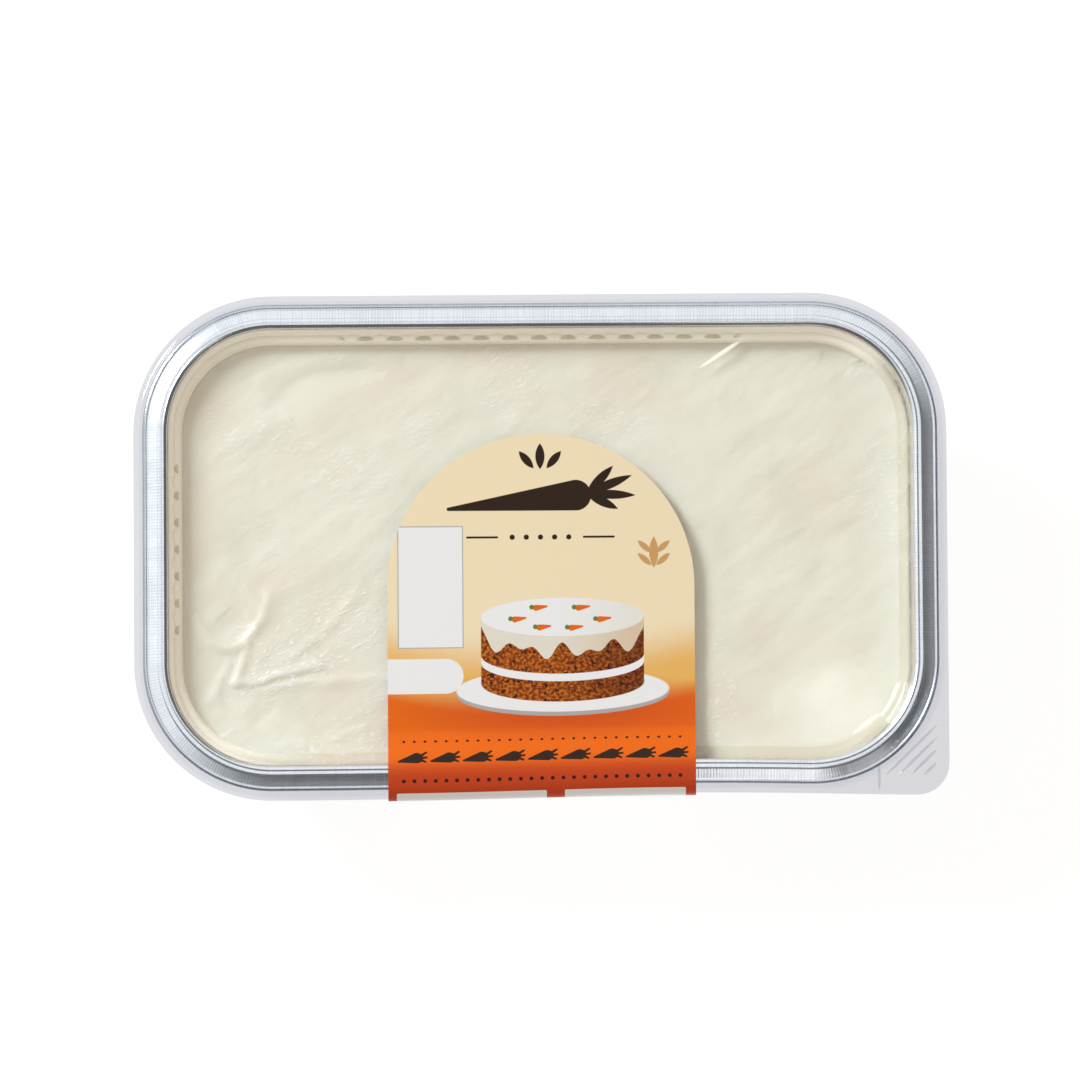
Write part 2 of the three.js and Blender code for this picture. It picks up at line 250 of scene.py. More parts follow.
@dataclass
class Graph:
    """A material's node tree, with short ways to add to it."""

    material: bpy.types.Material
    nodes: bpy.types.Nodes = field(init=False)
    links: bpy.types.NodeLinks = field(init=False)
    output: bpy.types.Node = field(init=False)

    def __post_init__(self) -> None:
        """Empties the tree and gives it an output."""
        self.material.use_nodes = True
        self.nodes = self.material.node_tree.nodes
        self.links = self.material.node_tree.links
        self.nodes.clear()
        self.output = self.nodes.new("ShaderNodeOutputMaterial")

    @classmethod
    def new(cls, name: str) -> "Graph":
        """Starts a material of that name."""
        return cls(bpy.data.materials.new(name))

    def add(self, kind: str, settings: dict | None = None, **inputs: object) -> bpy.types.Node:
        """Adds a node.

        Args:
            kind: The node's type, without its ShaderNode prefix.
            settings: Properties to set on the node.
            **inputs: Values or sockets for its inputs, with _ for a space in a name.

        Returns:
            The node.
        """
        node = self.nodes.new("ShaderNode" + kind)
        for name, value in (settings or {}).items():
            setattr(node, name, value)
        for name, value in inputs.items():
            self.feed(node.inputs[name.replace("_", " ")], value)
        return node

    def feed(self, socket: bpy.types.NodeSocket, value: object) -> None:
        """Links a socket, a field or a node's first output to an input, or sets its value.

        Args:
            socket: The input.
            value: What it gets.
        """
        if isinstance(value, Field):
            value = value.socket
        if isinstance(value, bpy.types.Node):
            value = value.outputs[0]
        if isinstance(value, bpy.types.NodeSocket):
            self.links.new(value, socket)
        elif isinstance(value, tuple) and len(value) == 3 and socket.type == "RGBA":
            socket.default_value = (*value, 1.0)
        else:
            socket.default_value = value

    def math(self, operation: str, *values: object, clamp: bool = False) -> "Field":
        """Adds a Math node.

        Args:
            operation: What it works out.
            *values: Its numbers or fields.
            clamp: True to hold the answer between 0 and 1.

        Returns:
            The answer as a field.
        """
        node = self.add("Math", {"operation": operation, "use_clamp": clamp})
        for socket, value in zip(node.inputs, values):
            self.feed(socket, value)
        return Field(self, node.outputs[0])

    def mix(self, factor: object, first: object, second: object) -> bpy.types.NodeSocket:
        """Mixes two colours.

        Args:
            factor: 0 for the first colour, 1 for the second.
            first: The first colour.
            second: The second colour.

        Returns:
            The mixed colour.
        """
        node = self.add("Mix", {"data_type": "RGBA"})
        for index, value in zip((0, 6, 7), (factor, first, second)):
            self.feed(node.inputs[index], value)
        return node.outputs[2]

    def blend(
        self, factor: object, first: bpy.types.Node, second: bpy.types.Node
    ) -> bpy.types.Node:
        """Mixes two shaders.

        Args:
            factor: 0 for the first shader, 1 for the second.
            first: The first shader.
            second: The second shader.

        Returns:
            The node that mixes them.
        """
        node = self.add("MixShader")
        for socket, value in zip(node.inputs, (factor, first, second)):
            self.feed(socket, value)
        return node

    def noise(self, vector: object, scale: float, detail: float = 2.0) -> "Field":
        """A noise pattern's height."""
        node = self.add("TexNoise", Vector=vector, Scale=scale, Detail=detail)
        return Field(self, node.outputs[0])

    def ramp(self, value: object, low: float, high: float) -> "Field":
        """Spreads a field so that low becomes 0 and high becomes 1, and holds it there.

        Args:
            value: The field.
            low: Its value that becomes 0.
            high: Its value that becomes 1.

        Returns:
            The spread field.
        """
        node = self.add("MapRange", {"interpolation_type": "SMOOTHSTEP"}, Value=value)
        node.inputs["From Min"].default_value = low
        node.inputs["From Max"].default_value = high
        return Field(self, node.outputs[0])

    def place(self, scale: tuple[float, float, float] = (1000, 1000, 1000)) -> bpy.types.Node:
        """The place on the object, in millimetres unless scaled otherwise."""
        source = self.add("TexCoord").outputs["Object"]
        return self.add("Mapping", Vector=source, Scale=scale)

    def bump(self, height: object, depth: float, strength: float = 1.0) -> bpy.types.Node:
        """A bump of a height field that is depth millimetres high."""
        return self.add("Bump", Height=height, Distance=depth * MM, Strength=strength)

    def finish(self, shader: bpy.types.Node) -> bpy.types.Material:
        """Links the shader to the output and returns the material."""
        self.links.new(shader.outputs[0], self.output.inputs["Surface"])
        return self.material


@dataclass(frozen=True)
class Field:
    """A number that varies over a surface, held as a node's output."""

    graph: Graph
    socket: bpy.types.NodeSocket

    def __add__(self, other: "Field | float") -> "Field":
        """Sum of two fields."""
        return self.graph.math("ADD", self, other)

    def __sub__(self, other: "Field | float") -> "Field":
        """Difference of two fields."""
        return self.graph.math("SUBTRACT", self, other)

    def __mul__(self, other: "Field | float") -> "Field":
        """Product of two fields."""
        return self.graph.math("MULTIPLY", self, other)

    def __or__(self, other: "Field | float") -> "Field":
        """The greater of two fields, which joins masks and crosses distances."""
        return self.graph.math("MAXIMUM", self, other)

    def __and__(self, other: "Field | float") -> "Field":
        """The lesser of two fields, which crosses masks and joins distances."""
        return self.graph.math("MINIMUM", self, other)


@dataclass(frozen=True)
class FoilFinish:
    """Bright rolled foil, with the fine creases that drawing it left across the rim.

    The wall is duller, and its creases are deeper. Its creases, and the wall's pleats, are also
    painted darker in tint: painted shade.
    """

    tint: Colour = (0.9, 0.91, 0.93)
    crease_shade_tint: Colour = (0.8, 0.81, 0.84)
    wall_tint: Colour = (0.74, 0.75, 0.77)
    pleat_shade_tint: Colour = (0.53, 0.54, 0.56)
    wall_top: Place = (40.0, 37.0)
    roughness: float = 0.17
    crease_pitch: float = 0.62
    crease_stretch: float = 0.06
    pleat_scale: Place = (0.42, 0.03)
    pleat_depth: float = 8.0
    tick_pitch: float = 0.86
    crease_depth: float = 0.013

    def material(self) -> bpy.types.Material:
        """Builds the material. The UV map holds the run along the rim and across it.

        Returns:
            The material.
        """
        graph = Graph.new("bright_foil")
        rim = graph.add("UVMap", {"uv_map": "rim"})
        along = graph.add("Mapping", Vector=rim, Scale=(1 / self.crease_pitch, self.crease_stretch, 1))
        fine = graph.noise(along, 1.0, 1.0)
        lines = graph.ramp(graph.noise(along, 0.8, 2.0), 0.6, 0.68)
        patches = graph.ramp(graph.noise(graph.place(), 0.06), 0.35, 0.7)
        run = graph.add("SeparateXYZ", Vector=rim).outputs[0]
        ticks = graph.ramp(graph.math("PINGPONG", run, self.tick_pitch / 2), 0.1, 0.34)
        creases = fine * (patches * 0.7 + 0.4) + lines * 0.3 + ticks * 0.35
        dull = graph.noise(graph.place(), 0.25, 4.0)
        height = graph.add("SeparateXYZ", Vector=graph.place()).outputs[2]
        wall = graph.ramp(height, *self.wall_top)
        folds = graph.add("Mapping", Vector=rim, Scale=(*self.pleat_scale, 1))
        pleats = graph.ramp(graph.noise(folds, 1.0, 2.0), 0.35, 0.65)
        creases = creases + pleats * wall * self.pleat_depth
        # The creases and pleats darken the foil's tint as well as bumping it: painted shade in them.
        crease_unshaded = graph.ramp(creases, 0.25, 0.75)
        tint = graph.mix(crease_unshaded, self.crease_shade_tint, self.tint)
        wall_tint = graph.mix(pleats, self.pleat_shade_tint, self.wall_tint)
        shader = graph.add(
            "BsdfPrincipled",
            Base_Color=graph.mix(wall, tint, wall_tint),
            Metallic=1.0,
            Roughness=wall * 0.1 + graph.math("MULTIPLY_ADD", dull, 0.14, self.roughness - 0.06),
            Normal=graph.bump(creases, self.crease_depth),
        )
        return graph.finish(shader)


class FluteRow(NamedTuple):
    """The flutes of one side: its middle, their pitch and half width, and their ends.

    At one run along the rim they are gone, and from the other on they are whole.
    """

    middle: float
    pitch: float
    half: float
    gone: float
    whole: float


@dataclass(frozen=True)
class ClearSheetFinish:
    """Clear thermoformed sheet: it passes light straight and mirrors more where it is steep.

    On the far and left sides its drawn bands are painted milky and given a faint glow, painted light
    that lifts their shade; thin raised streaks on the panel carry the same glow as painted highlights.
    """

    face_tint: Colour = (0.99, 0.99, 0.99)
    drawn_tint: Colour = (0.95, 0.935, 0.905)
    flange_tint: Colour = (0.83, 0.83, 0.85)
    skirt_tint: Colour = (0.79, 0.8, 0.825)
    flange_run: float = 1.5
    skirt_run: float = 4.9
    skirt_fade: float = 0.3
    crown_fade: float = 0.9
    band_fade: float = 0.2
    drawn: Place = (12.7, 18.7)
    plug_end: float = 15.6
    # On the shaded sides the drawn bands are painted lighter, with milky white and a glow that no lamp
    # gives: painted light.
    painted_light: float = 0.36
    plug_painted_light: float = 0.18
    painted_light_tint: Colour = (1.0, 0.97, 0.9)
    painted_glow_tint: Colour = (1.0, 0.95, 0.84)
    painted_glow: float = 0.27
    # Raised streaks on the panel take the milky glow as painted highlights.
    highlight_run: float = 26.0
    painted_highlight: float = 0.5
    # Darker tint of the flutes, laid on the shaded sides only: painted shade.
    flute_shade_tint: Colour = (0.84, 0.85, 0.78)
    flute_clear: float = 0.22
    flute_run: float = 17.1
    flute_height: float = 1.5
    flute_rows: tuple[FluteRow, ...] = (
        FluteRow(0, 8.2, 2.6, 58, 55),
        FluteRow(166.3, 7.7, 1.5, 139, 141),
    )
    shade_slant: float = 1.6
    shade_start: float = 30.0
    gloss_roughness: float = 0.06
    straight_on: float = 0.04
    grazing: float = 0.9

    def material(self) -> bpy.types.Material:
        """Builds the material. The UV map tells the flange, the skirt and the plug apart.

        Returns:
            The material.
        """
        graph = Graph.new("clear_lid_sheet")
        rim = graph.add("SeparateXYZ", Vector=graph.add("UVMap", {"uv_map": "rim"}))
        run = Field(graph, rim.outputs[1])
        shaded = self.shaded(graph)
        drawn = self.band(graph, run, self.drawn)
        plug = self.band(graph, run, (self.drawn[0], self.plug_end))
        # The flutes take their darker tint on the shaded sides only: painted shade.
        flutes = self.flutes(graph, Field(graph, rim.outputs[0]), run) * shaded
        within_skirt = graph.ramp(run, self.flange_run, self.flange_run + self.skirt_fade)
        within_crown = graph.ramp(run, self.skirt_run - self.crown_fade, self.skirt_run)
        tint = graph.mix(within_skirt, self.flange_tint, self.skirt_tint)
        tint = graph.mix(within_crown, tint, self.face_tint)
        tint = graph.mix(drawn, tint, self.drawn_tint)
        tint = graph.mix(flutes, tint, self.flute_shade_tint)
        film = graph.add("BsdfTransparent", Color=tint)
        # Milky white that glows: painted light for the shaded bands and the highlight streaks.
        painted_glow_shader = graph.add(
            "BsdfPrincipled",
            Base_Color=self.painted_light_tint,
            Roughness=0.6,
            Specular_IOR_Level=0.0,
            Emission_Color=self.painted_glow_tint,
            Emission_Strength=self.painted_glow,
        )
        # The painted light is laid on the shaded sides only, less on the flutes, and along the
        # highlight streaks.
        painted_light = (drawn * self.painted_light + plug * self.plug_painted_light) * shaded - flutes * self.flute_clear
        painted_light = painted_light | graph.ramp(run, self.highlight_run - 1, self.highlight_run) * self.painted_highlight
        film = graph.blend(painted_light, film, painted_glow_shader)
        gloss = graph.add("BsdfGlossy", Color=(1.0, 1.0, 1.0), Roughness=self.gloss_roughness)
        steep = graph.add("LayerWeight", Blend=0.5).outputs["Facing"]
        grazing = graph.math("POWER", steep, 5.0)
        mirror = graph.math("MULTIPLY_ADD", grazing, self.grazing, self.straight_on)
        return graph.finish(graph.blend(mirror, film, gloss))

    def shaded(self, graph: Graph) -> Field:
        """Mask of the far and left sides, whose plug wall catches no direct light.

        Args:
            graph: The material's nodes.

        Returns:
            The mask.
        """
        place = graph.add("SeparateXYZ", Vector=graph.place())
        across = graph.math("MULTIPLY_ADD", place.outputs[1], -self.shade_slant, place.outputs[0])
        return graph.ramp(across, self.shade_start, 0)

    def band(self, graph: Graph, run: Field, ends: Place) -> Field:
        """Mask of a band between two runs across the sheet."""
        begun, over = (graph.ramp(run, end - self.band_fade, end + self.band_fade) for end in ends)
        return begun - over

    def flutes(self, graph: Graph, along: Field, run: Field) -> Field:
        """Mask of the domed flutes at the plug wall's foot.

        Args:
            graph: The material's nodes.
            along: Run along the rim, from the middle of a long side.
            run: Run across the sheet.

        Returns:
            The mask.
        """
        down = graph.math("MULTIPLY", run - self.flute_run, 1 / self.flute_height)
        ends = graph.ramp(run, self.flute_run, self.flute_run - 0.15)
        joined = None
        for row in self.flute_rows:
            far = graph.math("PINGPONG", along - row.middle, row.pitch / 2) * (1 / row.half)
            dome = graph.ramp(graph.math("MULTIPLY_ADD", far, far, down * down), 1.05, 0.75)
            dome = dome * ends * graph.ramp(along, row.gone, row.whole)
            joined = dome if joined is None else joined | dome
        return joined

@dataclass(frozen=True)
class IcingFinish:
    """Cream-cheese icing: ivory, faintly mottled, with a moist satin face."""

    ivory: Colour = srgb(244, 241, 224)
    blush: Colour = srgb(242, 232, 213)
    green: Colour = srgb(236, 234, 214)
    painted_glint: Colour = srgb(255, 255, 252)
    roughness: float = 0.42
    stroke_turn: float = 33.0
    fleck_turn: float = 24.0
    moist_turn: float = 31.0
    moist_patch: tuple[float, float, float, float] = (-66, 10, 30, 10)

    def material(self) -> bpy.types.Material:
        """Builds the material.

        Returns:
            The material.
        """
        graph = Graph.new("ivory_icing")
        place = graph.place()
        warm = graph.ramp(graph.noise(place, 0.028, 2.0), 0.45, 0.7)
        cool = graph.ramp(graph.noise(graph.place((1300, 900, 1000)), 0.05), 0.5, 0.75)
        colour = graph.mix(warm, self.ivory, self.blush)
        colour = graph.mix(cool, colour, self.green)
        strokes = graph.noise(self.turned(graph, self.stroke_turn, (420, 1050, 1000)), 0.32, 3.0)
        flecks = graph.noise(self.turned(graph, self.fleck_turn, (850, 1900, 1000)), 0.62, 2.0)
        turned = self.turned(graph, self.moist_turn, (1000, 1000, 1000))
        moist = Motifs(graph, turned.outputs[0], soft=5.0).ellipse(*self.moist_patch)
        wet = graph.ramp(graph.noise(place, 0.035, 2.0), 0.5, 0.62) * 0.6 | moist
        glints = graph.ramp(flecks, 0.54, 0.68) * wet
        relief = strokes * 0.9 + graph.noise(place, 1.1) * 0.2 + glints * 0.45
        # The glints are painted white into the colour as well as bumped: painted highlights.
        colour = graph.mix(glints, colour, self.painted_glint)
        shader = graph.add(
            "BsdfPrincipled",
            Base_Color=colour,
            Roughness=graph.math("MULTIPLY_ADD", wet, -0.16, self.roughness),
            Coat_Weight=0.2,
            Coat_Roughness=0.25,
            Normal=graph.bump(relief, 0.2, 0.8),
        )
        return graph.finish(shader)

    def turned(
        self, graph: Graph, degrees: float, scale: tuple[float, float, float]
    ) -> bpy.types.Node:
        """The place on the object, turned to lie along the spatula's strokes.

        Args:
            graph: The material's nodes.
            degrees: The strokes' direction on the plan, counter-clockwise from +X.
            scale: Units to the metre along and across them.

        Returns:
            The node that gives the place.
        """
        source = graph.add("TexCoord").outputs["Object"]
        turn = graph.add("Mapping", {"vector_type": "TEXTURE"}, Vector=source)
        turn.inputs["Rotation"].default_value = (0, 0, math.radians(degrees))
        return graph.add("Mapping", Vector=turn, Scale=scale)


@dataclass(frozen=True)
class SpongeFinish:
    """Brown carrot sponge with an open crumb."""

    crumb: Colour = srgb(176, 118, 66)
    dark: Colour = srgb(104, 58, 26)
    carrot: Colour = srgb(214, 122, 44)

    def material(self) -> bpy.types.Material:
        """Builds the material.

        Returns:
            The material.
        """
        graph = Graph.new("carrot_sponge")
        place = graph.place()
        pores = graph.ramp(graph.noise(place, 0.9, 5.0), 0.4, 0.65)
        flecks = graph.ramp(graph.noise(place, 0.45, 2.0), 0.66, 0.72)
        colour = graph.mix(pores, self.dark, self.crumb)
        colour = graph.mix(flecks, colour, self.carrot)
        shader = graph.add(
            "BsdfPrincipled",
            Base_Color=colour,
            Roughness=0.85,
            Normal=graph.bump(pores, 0.5),
        )
        return graph.finish(shader)


@dataclass
class Motifs:
    """Masks of simple flat shapes, in millimetres. On the label x goes across and s down."""

    graph: Graph
    point: bpy.types.NodeSocket
    soft: float = 0.14
    x: Field = field(init=False)
    s: Field = field(init=False)

    def __post_init__(self) -> None:
        """Splits the place on the label into its two coordinates."""
        parts = self.graph.add("SeparateXYZ", Vector=self.point)
        self.x = Field(self.graph, parts.outputs[0])
        self.s = Field(self.graph, parts.outputs[1])

    @classmethod
    def on_label(cls, graph: Graph) -> "Motifs":
        """Shapes placed by the label's own flat map."""
        source = graph.add("UVMap", {"uv_map": "label"}).outputs[0]
        return cls(graph, graph.add("Mapping", Vector=source, Scale=(1000, 1000, 1)).outputs[0])

    def folded(self, x: Field) -> "Motifs":
        """The same shapes with another coordinate across, such as one that mirrors or repeats."""
        point = self.graph.add("CombineXYZ", X=x, Y=self.s).outputs[0]
        return Motifs(self.graph, point, self.soft)

    def mirrored(self) -> "Motifs":
        """Shapes that appear on both sides of the label's middle."""
        return self.folded(self.graph.math("ABSOLUTE", self.x))

    def repeated(self, pitch: float) -> "Motifs":
        """Shapes that appear again every pitch across the label."""
        shifted = self.x + pitch / 2
        return self.folded(self.graph.math("FLOORED_MODULO", shifted, pitch) - pitch / 2)

    def mask(self, distance: Field) -> Field:
        """1 inside a distance of 0, and 0 outside it."""
        return self.graph.math("MULTIPLY_ADD", distance, -1 / self.soft, 0.5, clamp=True)

    def disc_distance(self, x: float, s: float, radius: float) -> Field:
        """Distance from a disc's edge.

        Args:
            x: Its middle across the label.
            s: Its middle down the label.
            radius: Its radius.

        Returns:
            The distance, below 0 inside.
        """
        node = self.graph.add("VectorMath", {"operation": "DISTANCE"})
        self.graph.feed(node.inputs[0], self.point)
        node.inputs[1].default_value = (x, s, 0)
        return Field(self.graph, node.outputs["Value"]) - radius

    def disc(self, x: float, s: float, radius: float) -> Field:
        """Mask of a disc."""
        return self.mask(self.disc_distance(x, s, radius))

    def lens(self, x: float, s: float, length: float, width: float, degrees: float) -> Field:
        """Mask of a leaf: two arcs that meet in points.

        Args:
            x: Its middle across the label.
            s: Its middle down the label.
            length: Length from point to point.
            width: Width in the middle.
            degrees: Angle of its length, clockwise on the label from across.

        Returns:
            The mask.
        """
        radius = (length * length + width * width) / (4 * width)
        away = radius - width / 2
        turn = math.radians(degrees) + math.pi / 2
        off_x, off_s = away * math.cos(turn), away * math.sin(turn)
        one = self.disc_distance(x + off_x, s + off_s, radius)
        other = self.disc_distance(x - off_x, s - off_s, radius)
        return self.mask(one | other)

    def ellipse(self, x: float, s: float, half_x: float, half_s: float) -> Field:
        """Mask of an ellipse.

        Args:
            x: Its middle across the label.
            s: Its middle down the label.
            half_x: Half its size across.
            half_s: Half its size down.

        Returns:
            The mask.
        """
        across = self.graph.math("MULTIPLY", self.x - x, 1 / half_x)
        down = self.graph.math("MULTIPLY", self.s - s, 1 / half_s)
        square = self.graph.math("MULTIPLY_ADD", down, down, across * across)
        distance = (self.graph.math("SQRT", square) - 1.0) * min(half_x, half_s)
        return self.mask(distance)

    def panel(self, left: float, top: float, right: float, low: float, round_by: float) -> Field:
        """Distance from the edge of a box with round corners.

        Args:
            left: Its left side.
            top: Its upper side.
            right: Its right side.
            low: Its lower side.
            round_by: Radius of its corners.

        Returns:
            The distance, below 0 inside.
        """
        middle_x, middle_s = (left + right) / 2, (top + low) / 2
        across = self.graph.math("ABSOLUTE", self.x - middle_x) - ((right - left) / 2 - round_by)
        down = self.graph.math("ABSOLUTE", self.s - middle_s) - ((low - top) / 2 - round_by)
        out_x, out_s = across | 0.0, down | 0.0
        square = self.graph.math("MULTIPLY_ADD", out_s, out_s, out_x * out_x)
        inside = (across | down) & 0.0
        return self.graph.math("SQRT", square) + inside - round_by

    def taper(self, start: Place, end: Place, wide: float, narrow: float) -> Field:
        """Mask of a bar with round ends that narrows from its start to its end.

        Args:
            start: Middle of its wide end.
            end: Middle of its narrow end.
            wide: Radius at the start.
            narrow: Radius at the end.

        Returns:
            The mask.
        """
        run_x, run_s = end[0] - start[0], end[1] - start[1]
        square = run_x * run_x + run_s * run_s
        from_x, from_s = self.x - start[0], self.s - start[1]
        dot = self.graph.math("MULTIPLY_ADD", from_s, run_s / square, from_x * (run_x / square))
        share = self.graph.math("MULTIPLY", dot, 1.0, clamp=True)
        off_x = self.graph.math("MULTIPLY_ADD", share, -run_x, from_x)
        off_s = self.graph.math("MULTIPLY_ADD", share, -run_s, from_s)
        away = self.graph.math("SQRT", self.graph.math("MULTIPLY_ADD", off_s, off_s, off_x * off_x))
        return self.mask(away - self.graph.math("MULTIPLY_ADD", share, narrow - wide, wide))


@dataclass
class Print:
    """A label's print in the making: its shapes, and the colour so far."""

    shapes: Motifs
    colour: "bpy.types.NodeSocket | Colour"

    def lay(self, mask: Field, ink: "bpy.types.NodeSocket | Colour") -> None:
        """Lays an ink over the colour so far, where a mask is 1."""
        self.colour = self.shapes.graph.mix(mask, self.colour, ink)


@dataclass(frozen=True)
class LabelFinish:
    """Coated paper with a print of plain colour fields and generic motifs."""

    cream: Colour = srgb(243, 225, 190)
    gold: Colour = srgb(234, 182, 100)
    orange: Colour = srgb(230, 104, 20)
    rust: Colour = srgb(200, 70, 32)
    brown: Colour = srgb(44, 28, 16)
    tan: Colour = srgb(205, 158, 102)
    white: Colour = srgb(239, 239, 241)
    grey: Colour = srgb(176, 172, 170)
    sponge: Colour = srgb(126, 50, 16)
    crumb: Colour = srgb(196, 112, 32)
    pore: Colour = srgb(62, 22, 10)
    drip: Colour = srgb(228, 222, 208)
    leaf: Colour = srgb(104, 128, 56)

    def material(self) -> bpy.types.Material:
        """Builds the material, one printed layer over the other.

        Returns:
            The material.
        """
        graph = Graph.new("printed_label_paper")
        sheet = Print(Motifs.on_label(graph), self.cream)
        for layer in (self.ground, self.round_cake, self.panels, self.ornaments):
            layer(sheet)
        grain = graph.noise(graph.place(), 2.2, 3.0)
        shader = graph.add(
            "BsdfPrincipled",
            Base_Color=sheet.colour,
            Roughness=0.42,
            Specular_IOR_Level=0.16,
            Normal=graph.bump(grain, 0.01),
        )
        return graph.finish(shader)

    def ground(self, sheet: Print) -> None:
        """Warms the cream through gold to orange down the label.

        Args:
            sheet: The print so far.
        """
        shapes, graph = sheet.shapes, sheet.shapes.graph
        depth = graph.math("MULTIPLY_ADD", shapes.x * shapes.x, 0.003, shapes.s)
        sheet.lay(graph.ramp(depth, 57, 72), self.gold)
        sheet.lay(graph.ramp(depth, 75, 82), self.orange)
        sheet.lay(graph.ramp(shapes.s, 93, 101), self.rust)

    def round_cake(self, sheet: Print) -> None:
        """Draws a whole round cake on a plate, icing running down its side.

        Args:
            sheet: The print so far.
        """
        shapes, graph = sheet.shapes, sheet.shapes.graph
        middle, half, top, low, bow = 6.0, 23.0, 52.5, 71.5, 5.6
        blurred = Motifs(graph, shapes.point, soft=7.0)
        sheet.lay(blurred.ellipse(middle, 78.5, 33, 7.5) * 0.6, self.rust)
        sheet.lay(shapes.ellipse(middle, 74.6, 30, 6.6), self.grey)
        sheet.lay(shapes.ellipse(middle, 73.6, 30, 6.4), self.white)
        speckle = graph.ramp(graph.noise(shapes.point, 1.1, 4.0), 0.42, 0.62)
        holes = graph.ramp(graph.noise(shapes.point, 0.6, 3.0), 0.58, 0.64)
        shade = graph.ramp(shapes.x, middle - half * 0.2, middle + half * 1.1)
        crumb = graph.mix(holes, graph.mix(speckle, self.sponge, self.crumb), self.pore)
        side = shapes.mask(shapes.panel(middle - half, top, middle + half, low, 0.1))
        side = side | shapes.ellipse(middle, low, half, bow)
        sheet.lay(side, graph.mix(shade * 0.6, crumb, self.pore))
        across = graph.math("MULTIPLY", shapes.x - middle, 1 / half)
        round_share = graph.math("MULTIPLY_ADD", across, across * -1.0, 1.0)
        front = graph.math("SQRT", round_share | 0.0) * bow
        filling = graph.math("ABSOLUTE", shapes.s - front - 64.5) - 1.1
        sheet.lay(shapes.mask(filling) * side, self.white)
        waves = graph.math("SINE", shapes.x * 0.83) + graph.math("SINE", shapes.x * 0.51 + 1.4)
        icing = shapes.mask(shapes.s - front - waves * 1.3 - (top + 4.4)) * side
        sheet.lay(icing, graph.mix(shade * 0.5, self.drip, self.tan))
        lit = graph.mix(shade * 0.6, self.white, self.drip)
        sheet.lay(shapes.ellipse(middle, top, half, bow), lit)
        for x, s in ((-12, 0.6), (-5, 3), (4, 3.2), (12, 0.8), (6, -2.6), (-6, -2.7)):
            x, s = middle + x, top + s
            sheet.lay(shapes.taper((x - 1.4, s), (x + 1.6, s - 0.4), 0.9, 0.3), self.orange)
            sheet.lay(shapes.disc(x - 2.6, s - 0.2, 0.7), self.leaf)

    def panels(self, sheet: Print) -> None:
        """Lays the plain white panels: a box, a tag with a round end, and two at the bottom.

        Args:
            sheet: The print so far.
        """
        shapes = sheet.shapes
        box = shapes.panel(-40.5, 26.2, -21.9, 61.2, 0.3)
        sheet.lay(shapes.mask(box), self.grey)
        sheet.lay(shapes.mask(box + 0.3), self.white)
        tag = (-60, 64.2, -22, 74.2, 5)
        for panel in (tag, (-41, 105, 1.3, 140, 0.4), (6.4, 105, 40.5, 140, 0.4)):
            sheet.lay(shapes.mask(shapes.panel(*panel)), self.white)

    def ornaments(self, sheet: Print) -> None:
        """Lays a large dark carrot with leaves and dots, a tan sprig, and a border of roots.

        Args:
            sheet: The print so far.
        """
        shapes = sheet.shapes
        pair = shapes.mirrored()
        carrot = shapes.taper((10, 17.6), (-26, 21.4), 4.4, 0.5)
        for degrees, length in ((-46, 11), (-22, 14), (2, 14), (26, 10)):
            turn = math.radians(degrees)
            middle = 13 + length / 2 * math.cos(turn), 17.2 + length / 2 * math.sin(turn)
            carrot = carrot | shapes.lens(*middle, length, 2.6, degrees)
        carrot = carrot | pair.lens(0, 6.4, 7.4, 2.6, 90)
        carrot = carrot | pair.lens(3.9, 7.4, 6.4, 2.2, -50)
        for x in (0, 4, 8):
            carrot = carrot | pair.disc(x, 29.5, 0.75)
        carrot = carrot | pair.mask(pair.panel(12, 29.2, 21, 29.8, 0.2))
        sheet.lay(carrot, self.brown)
        sprig = shapes.lens(32, 34, 9, 2.6, 90)
        for side, s in ((-1, 36), (1, 36), (-1, 32.4), (1, 32.4)):
            sprig = sprig | shapes.lens(32 + side * 2.6, s, 5.2, 1.7, side * -42)
        sheet.lay(sprig, self.tan)
        roots = shapes.repeated(9.2)
        border = roots.taper((1.4, 94.4), (-3.6, 95.6), 1.9, 0.35)
        for tuft, rise in (((4.1, 92.4), 93.8), ((4.4, 94.2), 94.4), ((3.9, 95.8), 95)):
            border = border | roots.taper((2.4, rise), tuft, 0.5, 0.35)
        dots = shapes.repeated(3.0)
        row = dots.disc(0, 88.4, 0.42) | dots.disc(0, 101.4, 0.55)
        within = shapes.mask(shapes.panel(-41.4, 84, 41.4, 104, 0.1))
        sheet.lay((border | row) * within, self.brown)


@dataclass(frozen=True)
class FloorFinish:
    """Plain white floor that glows a little, so that shadows on it stay faint."""

    white: Colour = (0.16, 0.16, 0.16)
    glow: float = 0.92

    def material(self) -> bpy.types.Material:
        """Builds the material.

        Returns:
            The material.
        """
        graph = Graph.new("white_floor")
        shader = graph.add(
            "BsdfPrincipled",
            Base_Color=self.white,
            Roughness=0.9,
            Specular_IOR_Level=0.0,
            Emission_Color=(1.0, 1.0, 1.0),
            Emission_Strength=self.glow,
        )
        return graph.finish(shader)


def deselect() -> None:
    """Deselects every object."""
    bpy.ops.object.select_all(action="DESELECT")


def select_only(piece: bpy.types.Object) -> None:
    """Selects one object and makes it active.

    Args:
        piece: The object.
    """
    deselect()
    piece.select_set(True)
    bpy.context.view_layer.objects.active = piece


def add_grid(name: str, cells: tuple[int, int]) -> bpy.types.Object:
    """Adds a flat square grid that reaches from -1 to 1 both ways.

    Args:
        name: Name of the piece.
        cells: Its numbers of columns and rows.

    Returns:
        The grid.
    """
    deselect()
    bpy.ops.mesh.primitive_grid_add(x_subdivisions=cells[0], y_subdivisions=cells[1], size=2)
    piece = bpy.context.active_object
    piece.name = piece.data.name = name
    return piece


